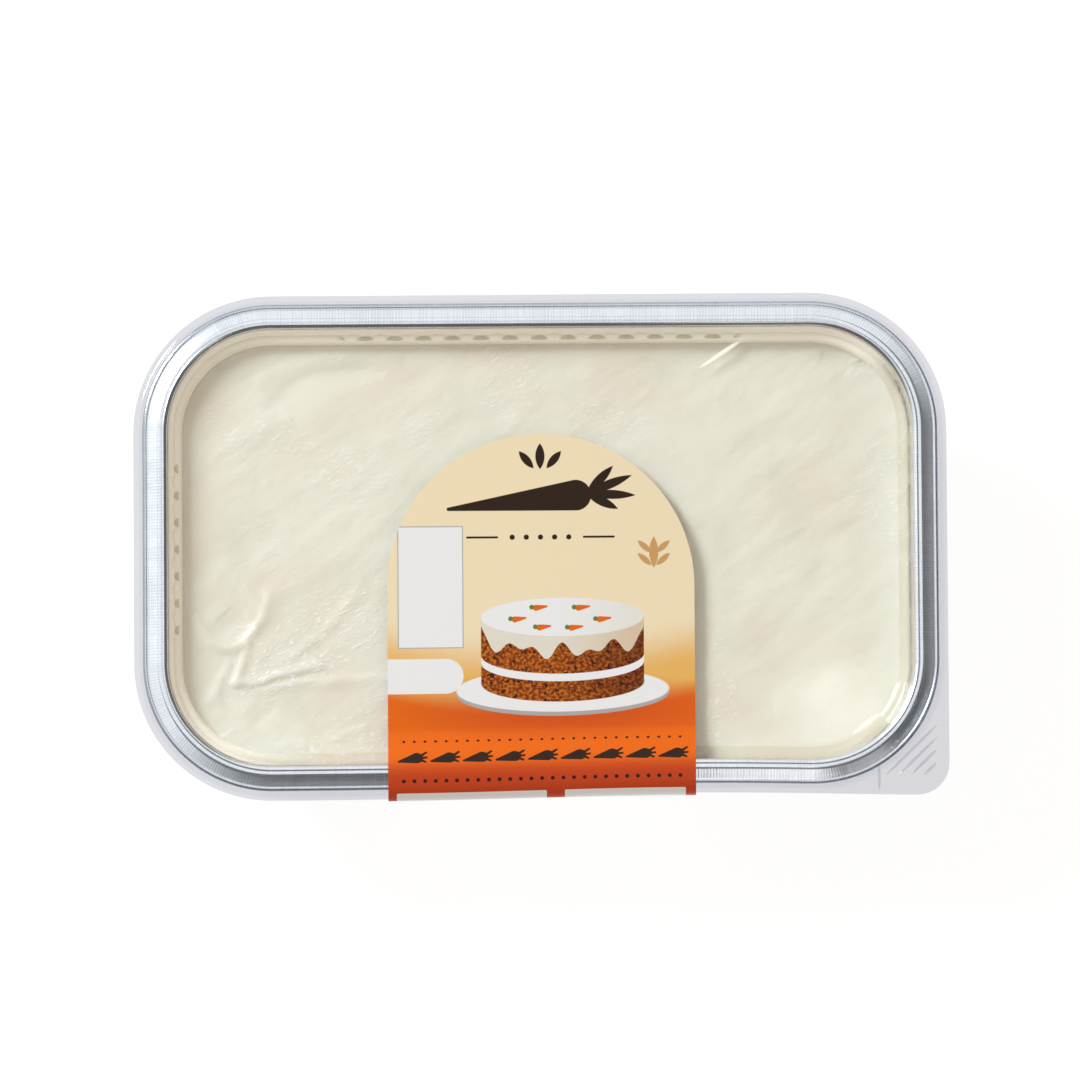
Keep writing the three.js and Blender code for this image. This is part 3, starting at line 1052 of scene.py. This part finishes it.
def place_vertices(piece: bpy.types.Object, where: np.ndarray) -> None:
    """Moves a mesh's vertices to places in metres."""
    piece.data.vertices.foreach_set("co", np.ascontiguousarray(where, np.float32).ravel())
    piece.data.update()


def places_of(piece: bpy.types.Object) -> np.ndarray:
    """Places of a mesh's vertices.

    Args:
        piece: The mesh object.

    Returns:
        The places in metres, one row for each vertex.
    """
    where = np.empty(len(piece.data.vertices) * 3, np.float32)
    piece.data.vertices.foreach_get("co", where)
    return where.reshape(-1, 3).astype(float)


def thicken(piece: bpy.types.Object, thickness: float) -> None:
    """Gives a sheet its thickness, below the modelled upper face.

    Args:
        piece: The sheet.
        thickness: The thickness in millimetres.
    """
    select_only(piece)
    wall = piece.modifiers.new("wall", "SOLIDIFY")
    wall.thickness = thickness * MM
    wall.offset = -1.0
    wall.use_even_offset = True
    wall.use_quality_normals = True
    bpy.ops.object.modifier_apply(modifier=wall.name)


def smooth(piece: bpy.types.Object, degrees: float = 40.0) -> None:
    """Shades a piece smooth, but for edges sharper than an angle."""
    select_only(piece)
    bpy.ops.object.shade_smooth_by_angle(angle=math.radians(degrees))


def write_map(piece: bpy.types.Object, name: str, across: np.ndarray) -> None:
    """Writes a UV map from one pair of numbers for each vertex.

    Args:
        piece: The mesh object.
        name: The map's name.
        across: The pairs, in vertex order.
    """
    layer = piece.data.uv_layers.new(name=name)
    corners = np.empty(len(piece.data.loops), np.int32)
    piece.data.loops.foreach_get("vertex_index", corners)
    layer.data.foreach_set("uv", across[corners].astype(np.float32).ravel())


def dress(piece: bpy.types.Object, material: bpy.types.Material) -> None:
    """Gives a piece one material and its place in the record.

    Args:
        piece: The piece.
        material: Its material.
    """
    piece.data.materials.clear()
    piece.data.materials.append(material)
    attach(piece, BODY)
    log.info("%s: %d faces", piece.name, len(piece.data.polygons))


@dataclass
class RimLoft:
    """A sheet that runs round the rim, extruded ring by ring through a profile."""

    name: str
    stations: list[Station]
    profile: list[Place]
    shape: Callable[[int, Station, float, float], tuple[float, float, float]]

    def build(self) -> bpy.types.Object:
        """Extrudes the rings, closes the last one and maps the run along and across.

        Returns:
            The sheet, its faces pointing up where it is closed.
        """
        deselect()
        bpy.ops.mesh.primitive_circle_add(vertices=len(self.stations), radius=1.0)
        piece = bpy.context.active_object
        piece.name = piece.data.name = self.name
        bpy.ops.object.mode_set(mode="EDIT")
        mesh = bmesh.from_edit_mesh(piece.data)
        mesh.verts.ensure_lookup_table()
        mesh.verts.layers.int.new("level")
        station = mesh.verts.layers.int.new("station")
        for index, vertex in enumerate(mesh.verts):
            vertex[station] = index
        self.put_ring(piece, 0)
        for index in range(1, len(self.profile)):
            bpy.ops.mesh.extrude_edges_move()
            self.put_ring(piece, index)
        bpy.ops.mesh.edge_face_add()
        self.face_up(piece)
        bpy.ops.object.mode_set(mode="OBJECT")
        self.map_runs(piece)
        return piece

    def put_ring(self, piece: bpy.types.Object, index: int) -> None:
        """Puts the selected ring at one place of the profile.

        Args:
            piece: The sheet, in edit mode.
            index: Number of the place.
        """
        mesh = bmesh.from_edit_mesh(piece.data)
        station = mesh.verts.layers.int["station"]
        level = mesh.verts.layers.int["level"]
        inset, height = self.profile[index]
        for vertex in mesh.verts:
            if vertex.select:
                at = self.stations[vertex[station]]
                vertex[level] = index
                vertex.co = Vector(self.shape(index, at, inset, height)) * MM
        bmesh.update_edit_mesh(piece.data)

    def face_up(self, piece: bpy.types.Object) -> None:
        """Turns all faces alike, with the closing one up.

        Args:
            piece: The sheet, in edit mode.
        """
        bpy.ops.mesh.select_all(action="SELECT")
        bpy.ops.mesh.normals_make_consistent(inside=False)
        mesh = bmesh.from_edit_mesh(piece.data)
        mesh.normal_update()
        closing = max(mesh.faces, key=lambda face: len(face.verts))
        if closing.normal.z < 0:
            bpy.ops.mesh.flip_normals()

    def map_runs(self, piece: bpy.types.Object) -> None:
        """Maps the run along the rim and the run across the sheet, in millimetres.

        Args:
            piece: The sheet, in object mode.
        """
        count = len(piece.data.vertices)
        station, level = np.empty(count, np.int32), np.empty(count, np.int32)
        piece.data.attributes["station"].data.foreach_get("value", station)
        piece.data.attributes["level"].data.foreach_get("value", level)
        along = np.array([at.run for at in self.stations])
        down = runs_along(self.profile)
        write_map(piece, "rim", np.column_stack([along[station], down[level]]))


@dataclass
class FoilTray:
    """The foil tray: curled edge, creased flange with a ridge, tapering wall and floor."""

    rim: Rim
    finish: FoilFinish = field(default_factory=FoilFinish)
    top: float = 45.0
    foil: float = 0.15
    wall: float = 0.5
    floor_inset: float = 14.0
    wall_top_inset: float = 6.6
    wall_top: float = 42.4
    fillet: float = 4.0
    bead_radius: float = 0.8
    bead_height: float = 43.0
    step: float = 3.0

    def wall_inset(self, height: float) -> float:
        """How far in the wall's outer face stands at a height."""
        share = height / self.wall_top
        return self.floor_inset + (self.wall_top_inset - self.floor_inset) * share

    def profile(self) -> list[Place]:
        """Upper face of the foil, from the curl's end over the flange to the floor.

        Returns:
            The face's line, as pairs of inset and height.
        """
        curl = arc((self.bead_radius, self.bead_height), self.bead_radius, -40, -285, 26)
        slope = [
            (1.14, self.top - 1.42),
            (1.24, self.top - 1.5),
            (1.38, self.top - 1.48),
            (1.6, self.top - 1.41),
            (3.85, self.top - 0.76),
            (4.05, self.top - 0.7),
            (4.22, self.top - 0.62),
            (4.4, self.top - 0.36),
            (4.75, self.top - 0.26),
            (5.25, self.top - 0.3),
            (5.5, self.top - 0.34),
        ]
        ridge = rounded([
            slope[-1],
            (5.85, self.top - 0.02),
            (6.15, self.top),
            (7.1, self.top - 0.75),
            (self.inner_face(self.wall_top) + 0.05, self.wall_top + 1.1),
            (self.inner_face(40), 40.0),
            (self.inner_face(36), 36.0),
        ])
        foot = self.fillet
        side = [(self.inner_face(z), z) for z in (30.0, 24.0, 18.0, 12.0)]
        middle = (self.inner_face(foot) + foot, foot + self.foil)
        heel = arc(middle, foot, 190, 270, 10)
        return [*curl, *slope, *ridge[1:], *side, *heel]

    def inner_face(self, height: float) -> float:
        """How far in the wall's inner face stands at a height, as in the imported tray."""
        return self.wall_inset(height) + self.wall

    def shape(
        self, index: int, at: Station, inset: float, height: float
    ) -> tuple[float, float, float]:
        """Where a station's foil lies at one place of the profile."""
        return at.x - at.out_x * inset, at.y - at.out_y * inset, height

    def build(self) -> bpy.types.Object:
        """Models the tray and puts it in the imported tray's place.

        Returns:
            The tray.
        """
        stations = self.rim.stations(self.step)
        tray = RimLoft("foil_tray_sheet", stations, self.profile(), self.shape).build()
        thicken(tray, self.foil)
        self.rim.draw_in(tray)
        smooth(tray)
        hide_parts("foil_tray")
        dress(tray, self.finish.material())
        return tray


class Welt(NamedTuple):
    """A thin raised line on the lid's sheet: its middle, length and direction."""

    x: float
    y: float
    length: float
    degrees: float


@dataclass
class Lid:
    """The clear lid: flange with a pull tab, crown over the rim, fluted plug wall, panel."""

    rim: Rim
    finish: ClearSheetFinish = field(default_factory=ClearSheetFinish)
    sheet: float = 0.35
    flange_reach: float = 2.5
    flange_top: float = 42.3
    crown: float = 46.0
    panel: float = 40.0
    panel_inset: float = 11.4
    flute_inset: float = 9.4
    flute_depth: float = 0.55
    flute_width: float = 0.75
    step: float = 1.03
    tab_corner: float = 9.3
    ribs: tuple[Welt, ...] = (
        Welt(104.3, -59.2, 20.9, 45),
        Welt(106.2, -60.8, 15.5, 45),
        Welt(107.9, -62.5, 10.4, 45),
        Welt(109.6, -64.5, 5.2, 45),
        Welt(95.1, -67.0, 7.6, 90),
    )
    rib_size: Place = (0.8, 0.13)
    rib_run: float = 4.4
    # Raised streaks on the panel that carry painted highlights.
    highlight_welts: tuple[Welt, ...] = (Welt(52.0, 55.4, 15.5, 33.7), Welt(91.6, -51.4, 9.5, 39))
    highlight_welt_size: Place = (1.15, 0.06)

    def profile(self) -> list[Place]:
        """Upper face of the sheet, from the flange's edge to the panel.

        Returns:
            The face's line, as pairs of inset and height.
        """
        return [
            (-self.flange_reach, self.flange_top),
            *rounded([
                (-1.9, self.flange_top),
                (-1.15, self.flange_top + 0.08),
                (-0.85, self.flange_top + 0.5),
                (0.35, self.flange_top + 2.7),
                (1.1, self.crown - 0.65),
                (2.6, self.crown - 0.6),
                (5.0, self.crown),
                (6.4, self.crown - 0.02),
                (7.3, self.crown - 0.9),
                (8.3, self.panel + 2.2),
                (8.7, self.panel + 1.25),
                (self.flute_inset, self.panel + 1.05),
                (self.panel_inset - 0.65, self.panel + 0.95),
                (self.panel_inset - 0.25, self.panel + 0.1),
                (self.panel_inset + 0.3, self.panel),
            ]),
            (self.panel_inset + 1.0, self.panel),
        ]

    def fluting(self, inset: float) -> float:
        """Share of the flutes' depth that the sheet has at an inset."""
        return math.exp(-(((inset - self.flute_inset) / self.flute_width) ** 2))

    def tab_reach(self, at: Station) -> float:
        """How far past the rolled edge the flange reaches, which the tab's corner widens.

        Args:
            at: The station.

        Returns:
            The reach.
        """
        if at.corner != 0:
            return self.flange_reach
        box = self.rim.corner + self.flange_reach
        across, down = abs(at.out_x), abs(at.out_y)
        to_box = box / max(across, down)
        middle = box - self.tab_corner
        if min(across, down) * to_box <= middle:
            return to_box - self.rim.corner
        along = middle * (across + down)
        clear = 2 * middle**2 - self.tab_corner**2
        return along + math.sqrt(along**2 - clear) - self.rim.corner

    def shape(
        self, index: int, at: Station, inset: float, height: float
    ) -> tuple[float, float, float]:
        """Where a station's sheet lies at one place of the profile.

        Args:
            index: Number of the place, 0 at the flange's edge.
            at: The station.
            inset: The place's inset.
            height: Its height.

        Returns:
            The place in millimetres.
        """
        if index == 0:
            inset = -self.tab_reach(at)
        shift = inset + at.wave * self.flute_depth * self.fluting(inset)
        return at.x - at.out_x * shift, at.y - at.out_y * shift, height

    def raise_lines(
        self, welts: Sequence[Welt], size: Place, level: float, run: float
    ) -> list[bpy.types.Object]:
        """Half-round raised lines, pointed at both ends.

        Args:
            welts: Their places.
            size: Their width and height.
            level: Height of the sheet that they stand on.
            run: Run across the sheet that they take their look from.

        Returns:
            The lines.
        """
        made = []
        for x, y, length, degrees in welts:
            deselect()
            bpy.ops.mesh.primitive_uv_sphere_add(
                segments=32,
                ring_count=16,
                radius=MM,
                scale=(length / 2, size[0] / 2, size[1]),
                rotation=(0, 0, math.radians(degrees)),
                location=Vector((x, y, level)) * MM,
            )
            line = bpy.context.active_object
            bpy.ops.object.transform_apply(location=True, rotation=True, scale=True)
            line.data.uv_layers.remove(line.data.uv_layers[0])
            write_map(line, "rim", np.tile((0.0, run), (len(line.data.vertices), 1)))
            made.append(line)
        return made

    def build(self) -> bpy.types.Object:
        """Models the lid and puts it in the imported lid's place.

        Returns:
            The lid.
        """
        stations = self.rim.stations(self.step)
        lid = RimLoft("clear_lid", stations, self.profile(), self.shape).build()
        thicken(lid, self.sheet)
        lines = self.raise_lines(self.ribs, self.rib_size, self.flange_top, self.rib_run)
        lines += self.raise_lines(
            self.highlight_welts, self.highlight_welt_size, self.panel, self.finish.highlight_run
        )
        select_only(lid)
        for line in lines:
            line.select_set(True)
        bpy.ops.object.join()
        self.rim.draw_in(lid)
        smooth(lid, 50)
        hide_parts("lid")
        dress(lid, self.finish.material())
        return lid


@dataclass(frozen=True)
class Stroke:
    """A spatula's mark in the icing: a line on the plan, with a crest or a groove."""

    height: float
    left: float
    right: float
    path: tuple[Place, ...]

    def rise(self, x: np.ndarray, y: np.ndarray) -> np.ndarray:
        """Height that the stroke adds at places of the plan.

        Args:
            x: Places along the pack, in millimetres.
            y: Places across it.

        Returns:
            The height at each, in millimetres.
        """
        line = np.array(rounded(self.path, 4))
        runs = np.gradient(line, axis=0)
        nearest = np.full(x.shape, 1e9)
        side, along = np.zeros(x.shape), np.zeros(x.shape)
        for at, (place, run) in zip(np.linspace(0, 1, len(line)), zip(line, runs)):
            off_x, off_y = x - place[0], y - place[1]
            away = np.hypot(off_x, off_y)
            closer = away < nearest
            nearest[closer] = away[closer]
            side[closer] = (run[0] * off_y - run[1] * off_x)[closer]
            along[closer] = at
        width = np.where(side > 0, self.left, self.right)
        fade = np.sin(np.pi * np.clip(along, 0, 1)) ** 0.6
        return self.height * fade * np.exp(-((nearest / width) ** 2))


class Swell(NamedTuple):
    """A soft unevenness of the icing: its height, slant, size both ways and pattern."""

    height: float
    slant: float
    long: float
    wide: float
    pattern: float

    def rise(self, x: float, y: float) -> float:
        """Height that it adds at one place of the plan."""
        along, across = (x + self.slant * y) / self.long, (y - self.slant * x) / self.wide
        return self.height * noise.noise(Vector((along, across, self.pattern)))


@dataclass
class Icing:
    """The icing: spread ivory cream with spatula strokes, rounded off at its edge."""

    rim: Rim
    finish: IcingFinish = field(default_factory=IcingFinish)
    inset: float = 7.98
    foot_inset: float = 9.05
    climb: float = 0.5
    climb_width: float = 7.0
    smear: float = 3.0
    smear_width: float = 2.1
    smear_fade: float = 60.0
    smear_slant: float = 1.6
    most: float = 40.5
    level: float = 37.2
    underside: float = 30.9
    edge: float = 0.6
    cells: tuple[int, int] = (330, 192)
    swells: tuple[Swell, ...] = (
        Swell(0.5, 0.0, 34, 26, 3.1),
        Swell(0.2, 0.7, 15, 7, 7.7),
        Swell(0.06, 0.7, 5, 2.6, 1.3),
    )
    strokes: tuple[Stroke, ...] = (
        Stroke(0.62, 1.2, 1.9, (
            (-98, -18.5), (-95.4, -22.8), (-92.6, -26.2), (-89.4, -27.9), (-85.8, -27.2),
            (-82.9, -25), (-80.5, -21.8), (-78.4, -18.4), (-76.6, -11),
        )),
        Stroke(0.5, 1.5, 1.0, (
            (-82.5, -25.4), (-84.1, -31), (-85.4, -34.4), (-86, -37), (-86.8, -39),
        )),
        Stroke(0.62, 1.8, 0.9, (
            (-88, -37.8), (-82.4, -38.2), (-78.6, -37.6), (-75.9, -36.4), (-70.8, -35), (-61, -33),
        )),
        Stroke(0.42, 1.0, 2.0, (
            (-82, -40.4), (-73.6, -38.5), (-68, -37.7), (-62.3, -37.4), (-53.8, -37), (-41, -36.2),
        )),
        Stroke(0.3, 1.5, 1.5, ((-87.6, -31), (-90.6, -37), (-94, -44))),
        Stroke(-0.4, 3.8, 3.8, ((-90, -18), (-87, -22), (-83, -19))),
        Stroke(-0.4, 3.4, 4.0, ((-90.5, -42), (-85, -41.4), (-78, -42.4))),
        Stroke(-0.34, 2.0, 2.4, ((-82, -50.6), (-78.5, -46.6), (-75, -44))),
        Stroke(0.26, 1.8, 1.8, ((-76, -57), (-71.4, -55.6), (-66, -56))),
        Stroke(0.24, 1.2, 1.6, ((-60, -55), (-54.4, -52), (-48.6, -50.4))),
        Stroke(0.3, 1.2, 2.4, ((-84, -10), (-78, -18), (-66, -25), (-52, -29))),
        Stroke(0.26, 1.4, 1.8, ((-76, -33), (-66, -27.5), (-58, -20), (-50, -8))),
        Stroke(-0.42, 1.8, 3.6, (
            (-77, 40), (-74.3, 44), (-70.2, 47.1), (-64.3, 49.7), (-57.8, 51.2), (-44, 51.4),
        )),
        Stroke(0.35, 3.6, 2.4, ((-80, 48), (-73, 52), (-64, 54.8), (-52, 55.4), (-38, 54))),
        Stroke(0.3, 3.5, 4.5, ((-94, 24), (-84, 33), (-70, 38))),
        Stroke(0.3, 4.0, 6.0, ((50, 44), (68, 40), (84, 28), (91, 8))),
        Stroke(-0.3, 5.0, 5.0, ((56, 30), (72, 18), (80, 0), (80, -14))),
        Stroke(0.3, 5.0, 4.0, ((66, -48), (80, -46), (90, -36))),
        Stroke(-0.4, 1.6, 2.4, ((80, 55), (84.5, 53), (88, 50))),
    )

    def outline(self, u: np.ndarray, v: np.ndarray) -> tuple[np.ndarray, np.ndarray]:
        """Moves places of the unit square onto the icing's rounded rectangle.

        Args:
            u: Places across the square, from -1 to 1.
            v: Places up it, from -1 to 1.

        Returns:
            The places on the plan, in millimetres.
        """
        half_x, half_y = self.rim.half(self.inset)
        radius = self.rim.corner - self.inset
        most = np.maximum(np.maximum(abs(u), abs(v)), 1e-9)
        edge_x, edge_y = abs(u) / most * half_x, abs(v) / most * half_y
        middle_x, middle_y = half_x - radius, half_y - radius
        along = edge_x * middle_x + edge_y * middle_y
        square = edge_x**2 + edge_y**2
        clear = middle_x**2 + middle_y**2 - radius**2
        reach = (along + np.sqrt(np.maximum(along**2 - square * clear, 0))) / square
        scale = np.where((edge_x > middle_x) & (edge_y > middle_y), reach, 1.0)
        return u * half_x * scale, v * half_y * scale

    def surface(self, x: np.ndarray, y: np.ndarray) -> np.ndarray:
        """Height of the spread icing at places of the plan, without what its border adds."""
        swell = np.array([sum(one.rise(a, b) for one in self.swells) for a, b in zip(x, y)])
        return self.level + swell + sum(stroke.rise(x, y) for stroke in self.strokes)

    def build(self) -> bpy.types.Object:
        """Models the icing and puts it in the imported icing's place.

        Returns:
            The icing.
        """
        icing = add_grid("spread_icing", self.cells)
        plan = places_of(icing)
        u, v = plan[:, 0], plan[:, 1]
        x, y = self.outline(u, v)
        half_x, half_y = self.rim.half(self.inset)
        border = np.minimum((1 - abs(u)) * half_x, (1 - abs(v)) * half_y)
        z = self.finished_edge(x, y, self.surface(x, y), border)
        place_vertices(icing, np.column_stack([x, y, z]) * MM)
        self.close(icing)
        self.rim.draw_in(icing)
        smooth(icing, 60)
        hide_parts("icing")
        dress(icing, self.finish.material())
        return icing

    def finished_edge(
        self, x: np.ndarray, y: np.ndarray, height: np.ndarray, border: np.ndarray
    ) -> np.ndarray:
        """Lets the icing climb the wall, smears it there on two sides and rounds its edge.

        Args:
            x: Places along the pack, in millimetres.
            y: Places across it.
            height: Height of the spread icing at each.
            border: Distance of each from the icing's border.

        Returns:
            The finished height at each.
        """
        climb = self.climb * np.exp(-((border / self.climb_width) ** 2))
        side = np.clip(0.5 - (x - self.smear_slant * y) / self.smear_fade, 0, 1)
        smear = self.smear * side * np.exp(-((border / self.smear_width) ** 2))
        past = np.clip(1 - border / self.edge, 0, 1)
        edge = self.edge * (1 - np.sqrt(1 - past**2))
        return np.minimum(height + climb + smear, self.most) - edge

    def close(self, icing: bpy.types.Object) -> None:
        """Extrudes the icing's border down to its underside and closes that.

        Args:
            icing: The icing's upper face.
        """
        bpy.ops.object.mode_set(mode="EDIT")
        bpy.ops.mesh.select_all(action="SELECT")
        bpy.ops.mesh.region_to_loop()
        bpy.ops.mesh.extrude_edges_move()
        mesh = bmesh.from_edit_mesh(icing.data)
        half_x, half_y = self.rim.half(self.inset)
        foot_x, foot_y = self.rim.half(self.foot_inset)
        for vertex in mesh.verts:
            if vertex.select:
                vertex.co.x *= foot_x / half_x
                vertex.co.y *= foot_y / half_y
                vertex.co.z = self.underside * MM
        bmesh.update_edit_mesh(icing.data)
        bpy.ops.mesh.edge_face_add()
        bpy.ops.mesh.select_all(action="SELECT")
        bpy.ops.mesh.normals_make_consistent(inside=False)
        bpy.ops.object.mode_set(mode="OBJECT")


@dataclass
class Label:
    """The paper label: an arch on the panel that goes over the front edge and down."""

    rim: Rim
    finish: LabelFinish = field(default_factory=LabelFinish)
    width: float = 86.8
    paper: float = 0.14
    arch_middle: float = -11.0
    on_panel: float = 40.42
    on_crown: float = 46.42
    leaves_panel: float = -53.0
    drop: float = -72.45
    cells: tuple[int, int] = (72, 240)
    arch_rows: float = 0.4
    tip: float = 0.02

    def line(self) -> np.ndarray:
        """Middle line of the paper, from the arch's tip to its lower end.

        Returns:
            The line, as rows of place across the pack and height.
        """
        crown, drop = self.on_crown, self.drop
        tip = self.arch_middle + self.width / 2
        return np.array(rounded([
            (tip, self.on_panel),
            (self.leaves_panel + 2, self.on_panel),
            (self.leaves_panel - 0.6, self.on_panel + 0.3),
            (-61.6, crown - 0.6),
            (-62.8, crown),
            (-65.2, crown),
            (-69.4, crown - 0.8),
            (-71.4, crown - 2.2),
            (drop, crown - 3.8),
            (drop, crown - 5.6),
            (drop + 1.5, crown - 13),
            (drop + 4.6, crown - 20),
            (-60.6, 19.6),
            (-58.7, 15),
            (-57.5, 8),
        ], 3))

    def along(self, runs: np.ndarray) -> tuple[np.ndarray, np.ndarray]:
        """Places on the middle line.

        Args:
            runs: Distances from its tip.

        Returns:
            The places across the pack, and their heights.
        """
        line = self.line()
        run = runs_along(line)
        return np.interp(runs, run, line[:, 0]), np.interp(runs, run, line[:, 1])

    def build(self) -> bpy.types.Object:
        """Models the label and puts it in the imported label's place.

        Returns:
            The label.
        """
        radius = self.width / 2
        label = add_grid("paper_label", self.cells)
        plan = places_of(label)
        runs = self.row_runs((1 - plan[:, 1]) / 2)
        y, z = self.along(runs)
        past = np.clip(radius - runs, 0, radius - self.tip)
        x = plan[:, 0] * np.sqrt(radius**2 - past**2)
        place_vertices(label, np.column_stack([x, y, z]) * MM)
        write_map(label, "label", np.column_stack([x, runs]) * MM)
        thicken(label, self.paper)
        self.rim.draw_in(label)
        smooth(label, 60)
        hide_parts("label")
        dress(label, self.finish.material())
        return label

    def row_runs(self, share: np.ndarray) -> np.ndarray:
        """Distances down the label of the rows, which stand closer near the arch's tip.

        Args:
            share: The rows' places, from 0 at the tip to 1 at the end.

        Returns:
            The distances.
        """
        length, radius = runs_along(self.line())[-1], self.width / 2
        turn = np.clip(share / self.arch_rows, 0, 1) * math.pi / 2
        on_arch = radius * (1 - np.cos(turn))
        below = radius + (length - radius) * (share - self.arch_rows) / (1 - self.arch_rows)
        return np.where(share < self.arch_rows, on_arch, below)


@dataclass
class Sponge:
    """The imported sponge, which keeps its own shape and gets its crumb."""

    finish: SpongeFinish = field(default_factory=SpongeFinish)

    def build(self) -> bpy.types.Object:
        """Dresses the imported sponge.

        Returns:
            The sponge.
        """
        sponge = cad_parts["carrot_cake"]
        sponge.data.materials.clear()
        sponge.data.materials.append(self.finish.material())
        log.info("%s: %d faces", sponge.name, len(sponge.data.polygons))
        return sponge


class Lamp(NamedTuple):
    """A soft oblong lamp that faces the pack.

    Its azimuth, counter-clockwise from +X, and its elevation are in degrees, its distance and
    its sides in metres, and its power in watts.
    """

    name: str
    azimuth: float
    elevation: float
    distance: float
    size: Place
    power: float
    colour: Colour = (1.0, 1.0, 1.0)


@dataclass
class Studio:
    """White floor, soft light and a camera that looks down from just in front."""

    elevation: float = 82.0
    lens: float = 600.0
    film_width: float = 36.0
    floor_side: float = 8.0
    roll: float = 0.4
    frame_width: float = 305.2
    aim: tuple[float, float, float] = (-0.14, 1.7, 43.0)
    soft_sky: Colour = (0.455, 0.395, 0.315)
    mirrored_sky: Colour = (0.93, 0.97, 1.0)
    bright_way: tuple[float, float, float] = (-0.45, 0.6, 0.66)
    fade: Place = (0.33, 0.7)
    brightness: Place = (0.12, 1.03)
    lamps: tuple[Lamp, ...] = (
        Lamp("key", 143, 35, 2.6, (0.9, 0.9), 67.0, (0.81, 0.895, 0.98)),
        Lamp("glow", 61.7, 83.1, 2.016, (0.018, 0.02), 0.006, (1.0, 0.98, 0.93)),
        Lamp("card", 294.5, 55.4, 0.2855, (0.055, 0.12), 0.0207),
        Lamp("far card", 318, 49.3, 0.31, (0.06, 0.1), 0.0066),
    )
    floor: FloorFinish = field(default_factory=FloorFinish)

    def build(self) -> None:
        """Sets up the camera, the lights and the floor."""
        self.camera()
        self.room()
        self.limits()
        for lamp in self.lamps:
            self.hang(lamp)
        self.ground()

    def camera(self) -> None:
        """Adds the camera, aimed so that the pack lies in the picture as photographed."""
        distance = self.lens / self.film_width * self.frame_width * MM
        angle = math.radians(self.elevation)
        back = Vector((0, -math.cos(angle), math.sin(angle)))
        deselect()
        bpy.ops.object.camera_add(location=Vector(self.aim) * MM + back * distance)
        camera = bpy.context.active_object
        camera.data.lens = self.lens
        camera.data.clip_start, camera.data.clip_end = 0.05, 20
        turn = Quaternion((0, 0, 1), math.radians(-self.roll))
        camera.rotation_euler = ((-back).to_track_quat("-Z", "Y") @ turn).to_euler()
        bpy.context.scene.camera = camera

    def room(self) -> None:
        """Fills the room with soft light, whose mirror image fades towards the right."""
        world = bpy.data.worlds.new("room")
        world.use_nodes = True
        nodes, links = world.node_tree.nodes, world.node_tree.links
        towards = nodes.new("ShaderNodeVectorMath")
        towards.operation = "DOT_PRODUCT"
        towards.inputs[1].default_value = self.bright_way
        links.new(nodes.new("ShaderNodeTexCoord").outputs["Generated"], towards.inputs[0])
        fade = nodes.new("ShaderNodeMapRange")
        fade.interpolation_type = "SMOOTHSTEP"
        for name, value in zip(("From Min", "From Max"), self.fade):
            fade.inputs[name].default_value = value
        for name, value in zip(("To Min", "To Max"), self.brightness):
            fade.inputs[name].default_value = value
        links.new(towards.outputs["Value"], fade.inputs["Value"])
        mirrored = nodes.new("ShaderNodeVectorMath")
        mirrored.operation = "SCALE"
        mirrored.inputs[0].default_value = self.mirrored_sky
        links.new(fade.outputs[0], mirrored.inputs["Scale"])
        pick = nodes.new("ShaderNodeMix")
        pick.data_type = "RGBA"
        links.new(nodes.new("ShaderNodeLightPath").outputs["Is Glossy Ray"], pick.inputs[0])
        pick.inputs[6].default_value = (*self.soft_sky, 1.0)
        links.new(mirrored.outputs[0], pick.inputs[7])
        links.new(pick.outputs[2], nodes["Background"].inputs["Color"])
        bpy.context.scene.world = world

    def limits(self) -> None:
        """Sets the picture's tones and how often light may bounce or pass a clear sheet."""
        scene = bpy.context.scene
        scene.view_settings.view_transform = "Standard"
        scene.cycles.transparent_max_bounces = 24
        scene.cycles.max_bounces = 6
        scene.cycles.diffuse_bounces = 2
        scene.cycles.glossy_bounces = 3

    def hang(self, lamp: Lamp) -> None:
        """Adds a lamp.

        Args:
            lamp: The lamp.
        """
        turn, rise = math.radians(lamp.azimuth), math.radians(lamp.elevation)
        level = math.cos(rise)
        out = Vector((math.cos(turn) * level, math.sin(turn) * level, math.sin(rise)))
        deselect()
        bpy.ops.object.light_add(type="AREA", location=out * lamp.distance)
        light = bpy.context.active_object
        light.name = lamp.name
        light.rotation_euler = (-out).to_track_quat("-Z", "Y").to_euler()
        light.data.shape = "RECTANGLE"
        light.data.size, light.data.size_y = lamp.size
        light.data.energy = lamp.power
        light.data.color = lamp.colour

    def ground(self) -> None:
        """Lays the floor."""
        deselect()
        bpy.ops.mesh.primitive_plane_add(size=self.floor_side, location=(0, 0, 0))
        floor = bpy.context.active_object
        floor.name = "floor"
        floor.data.materials.append(self.floor.material())


def main() -> None:
    """Builds the pack piece by piece and sets it in the studio."""
    logging.basicConfig(level=logging.INFO, format="%(name)s %(message)s")
    rim = Rim.of_tray()
    FoilTray(rim).build()
    Sponge().build()
    Icing(rim).build()
    Lid(rim).build()
    Label(rim).build()
    Studio().build()


if __name__ == "__main__":
    main()
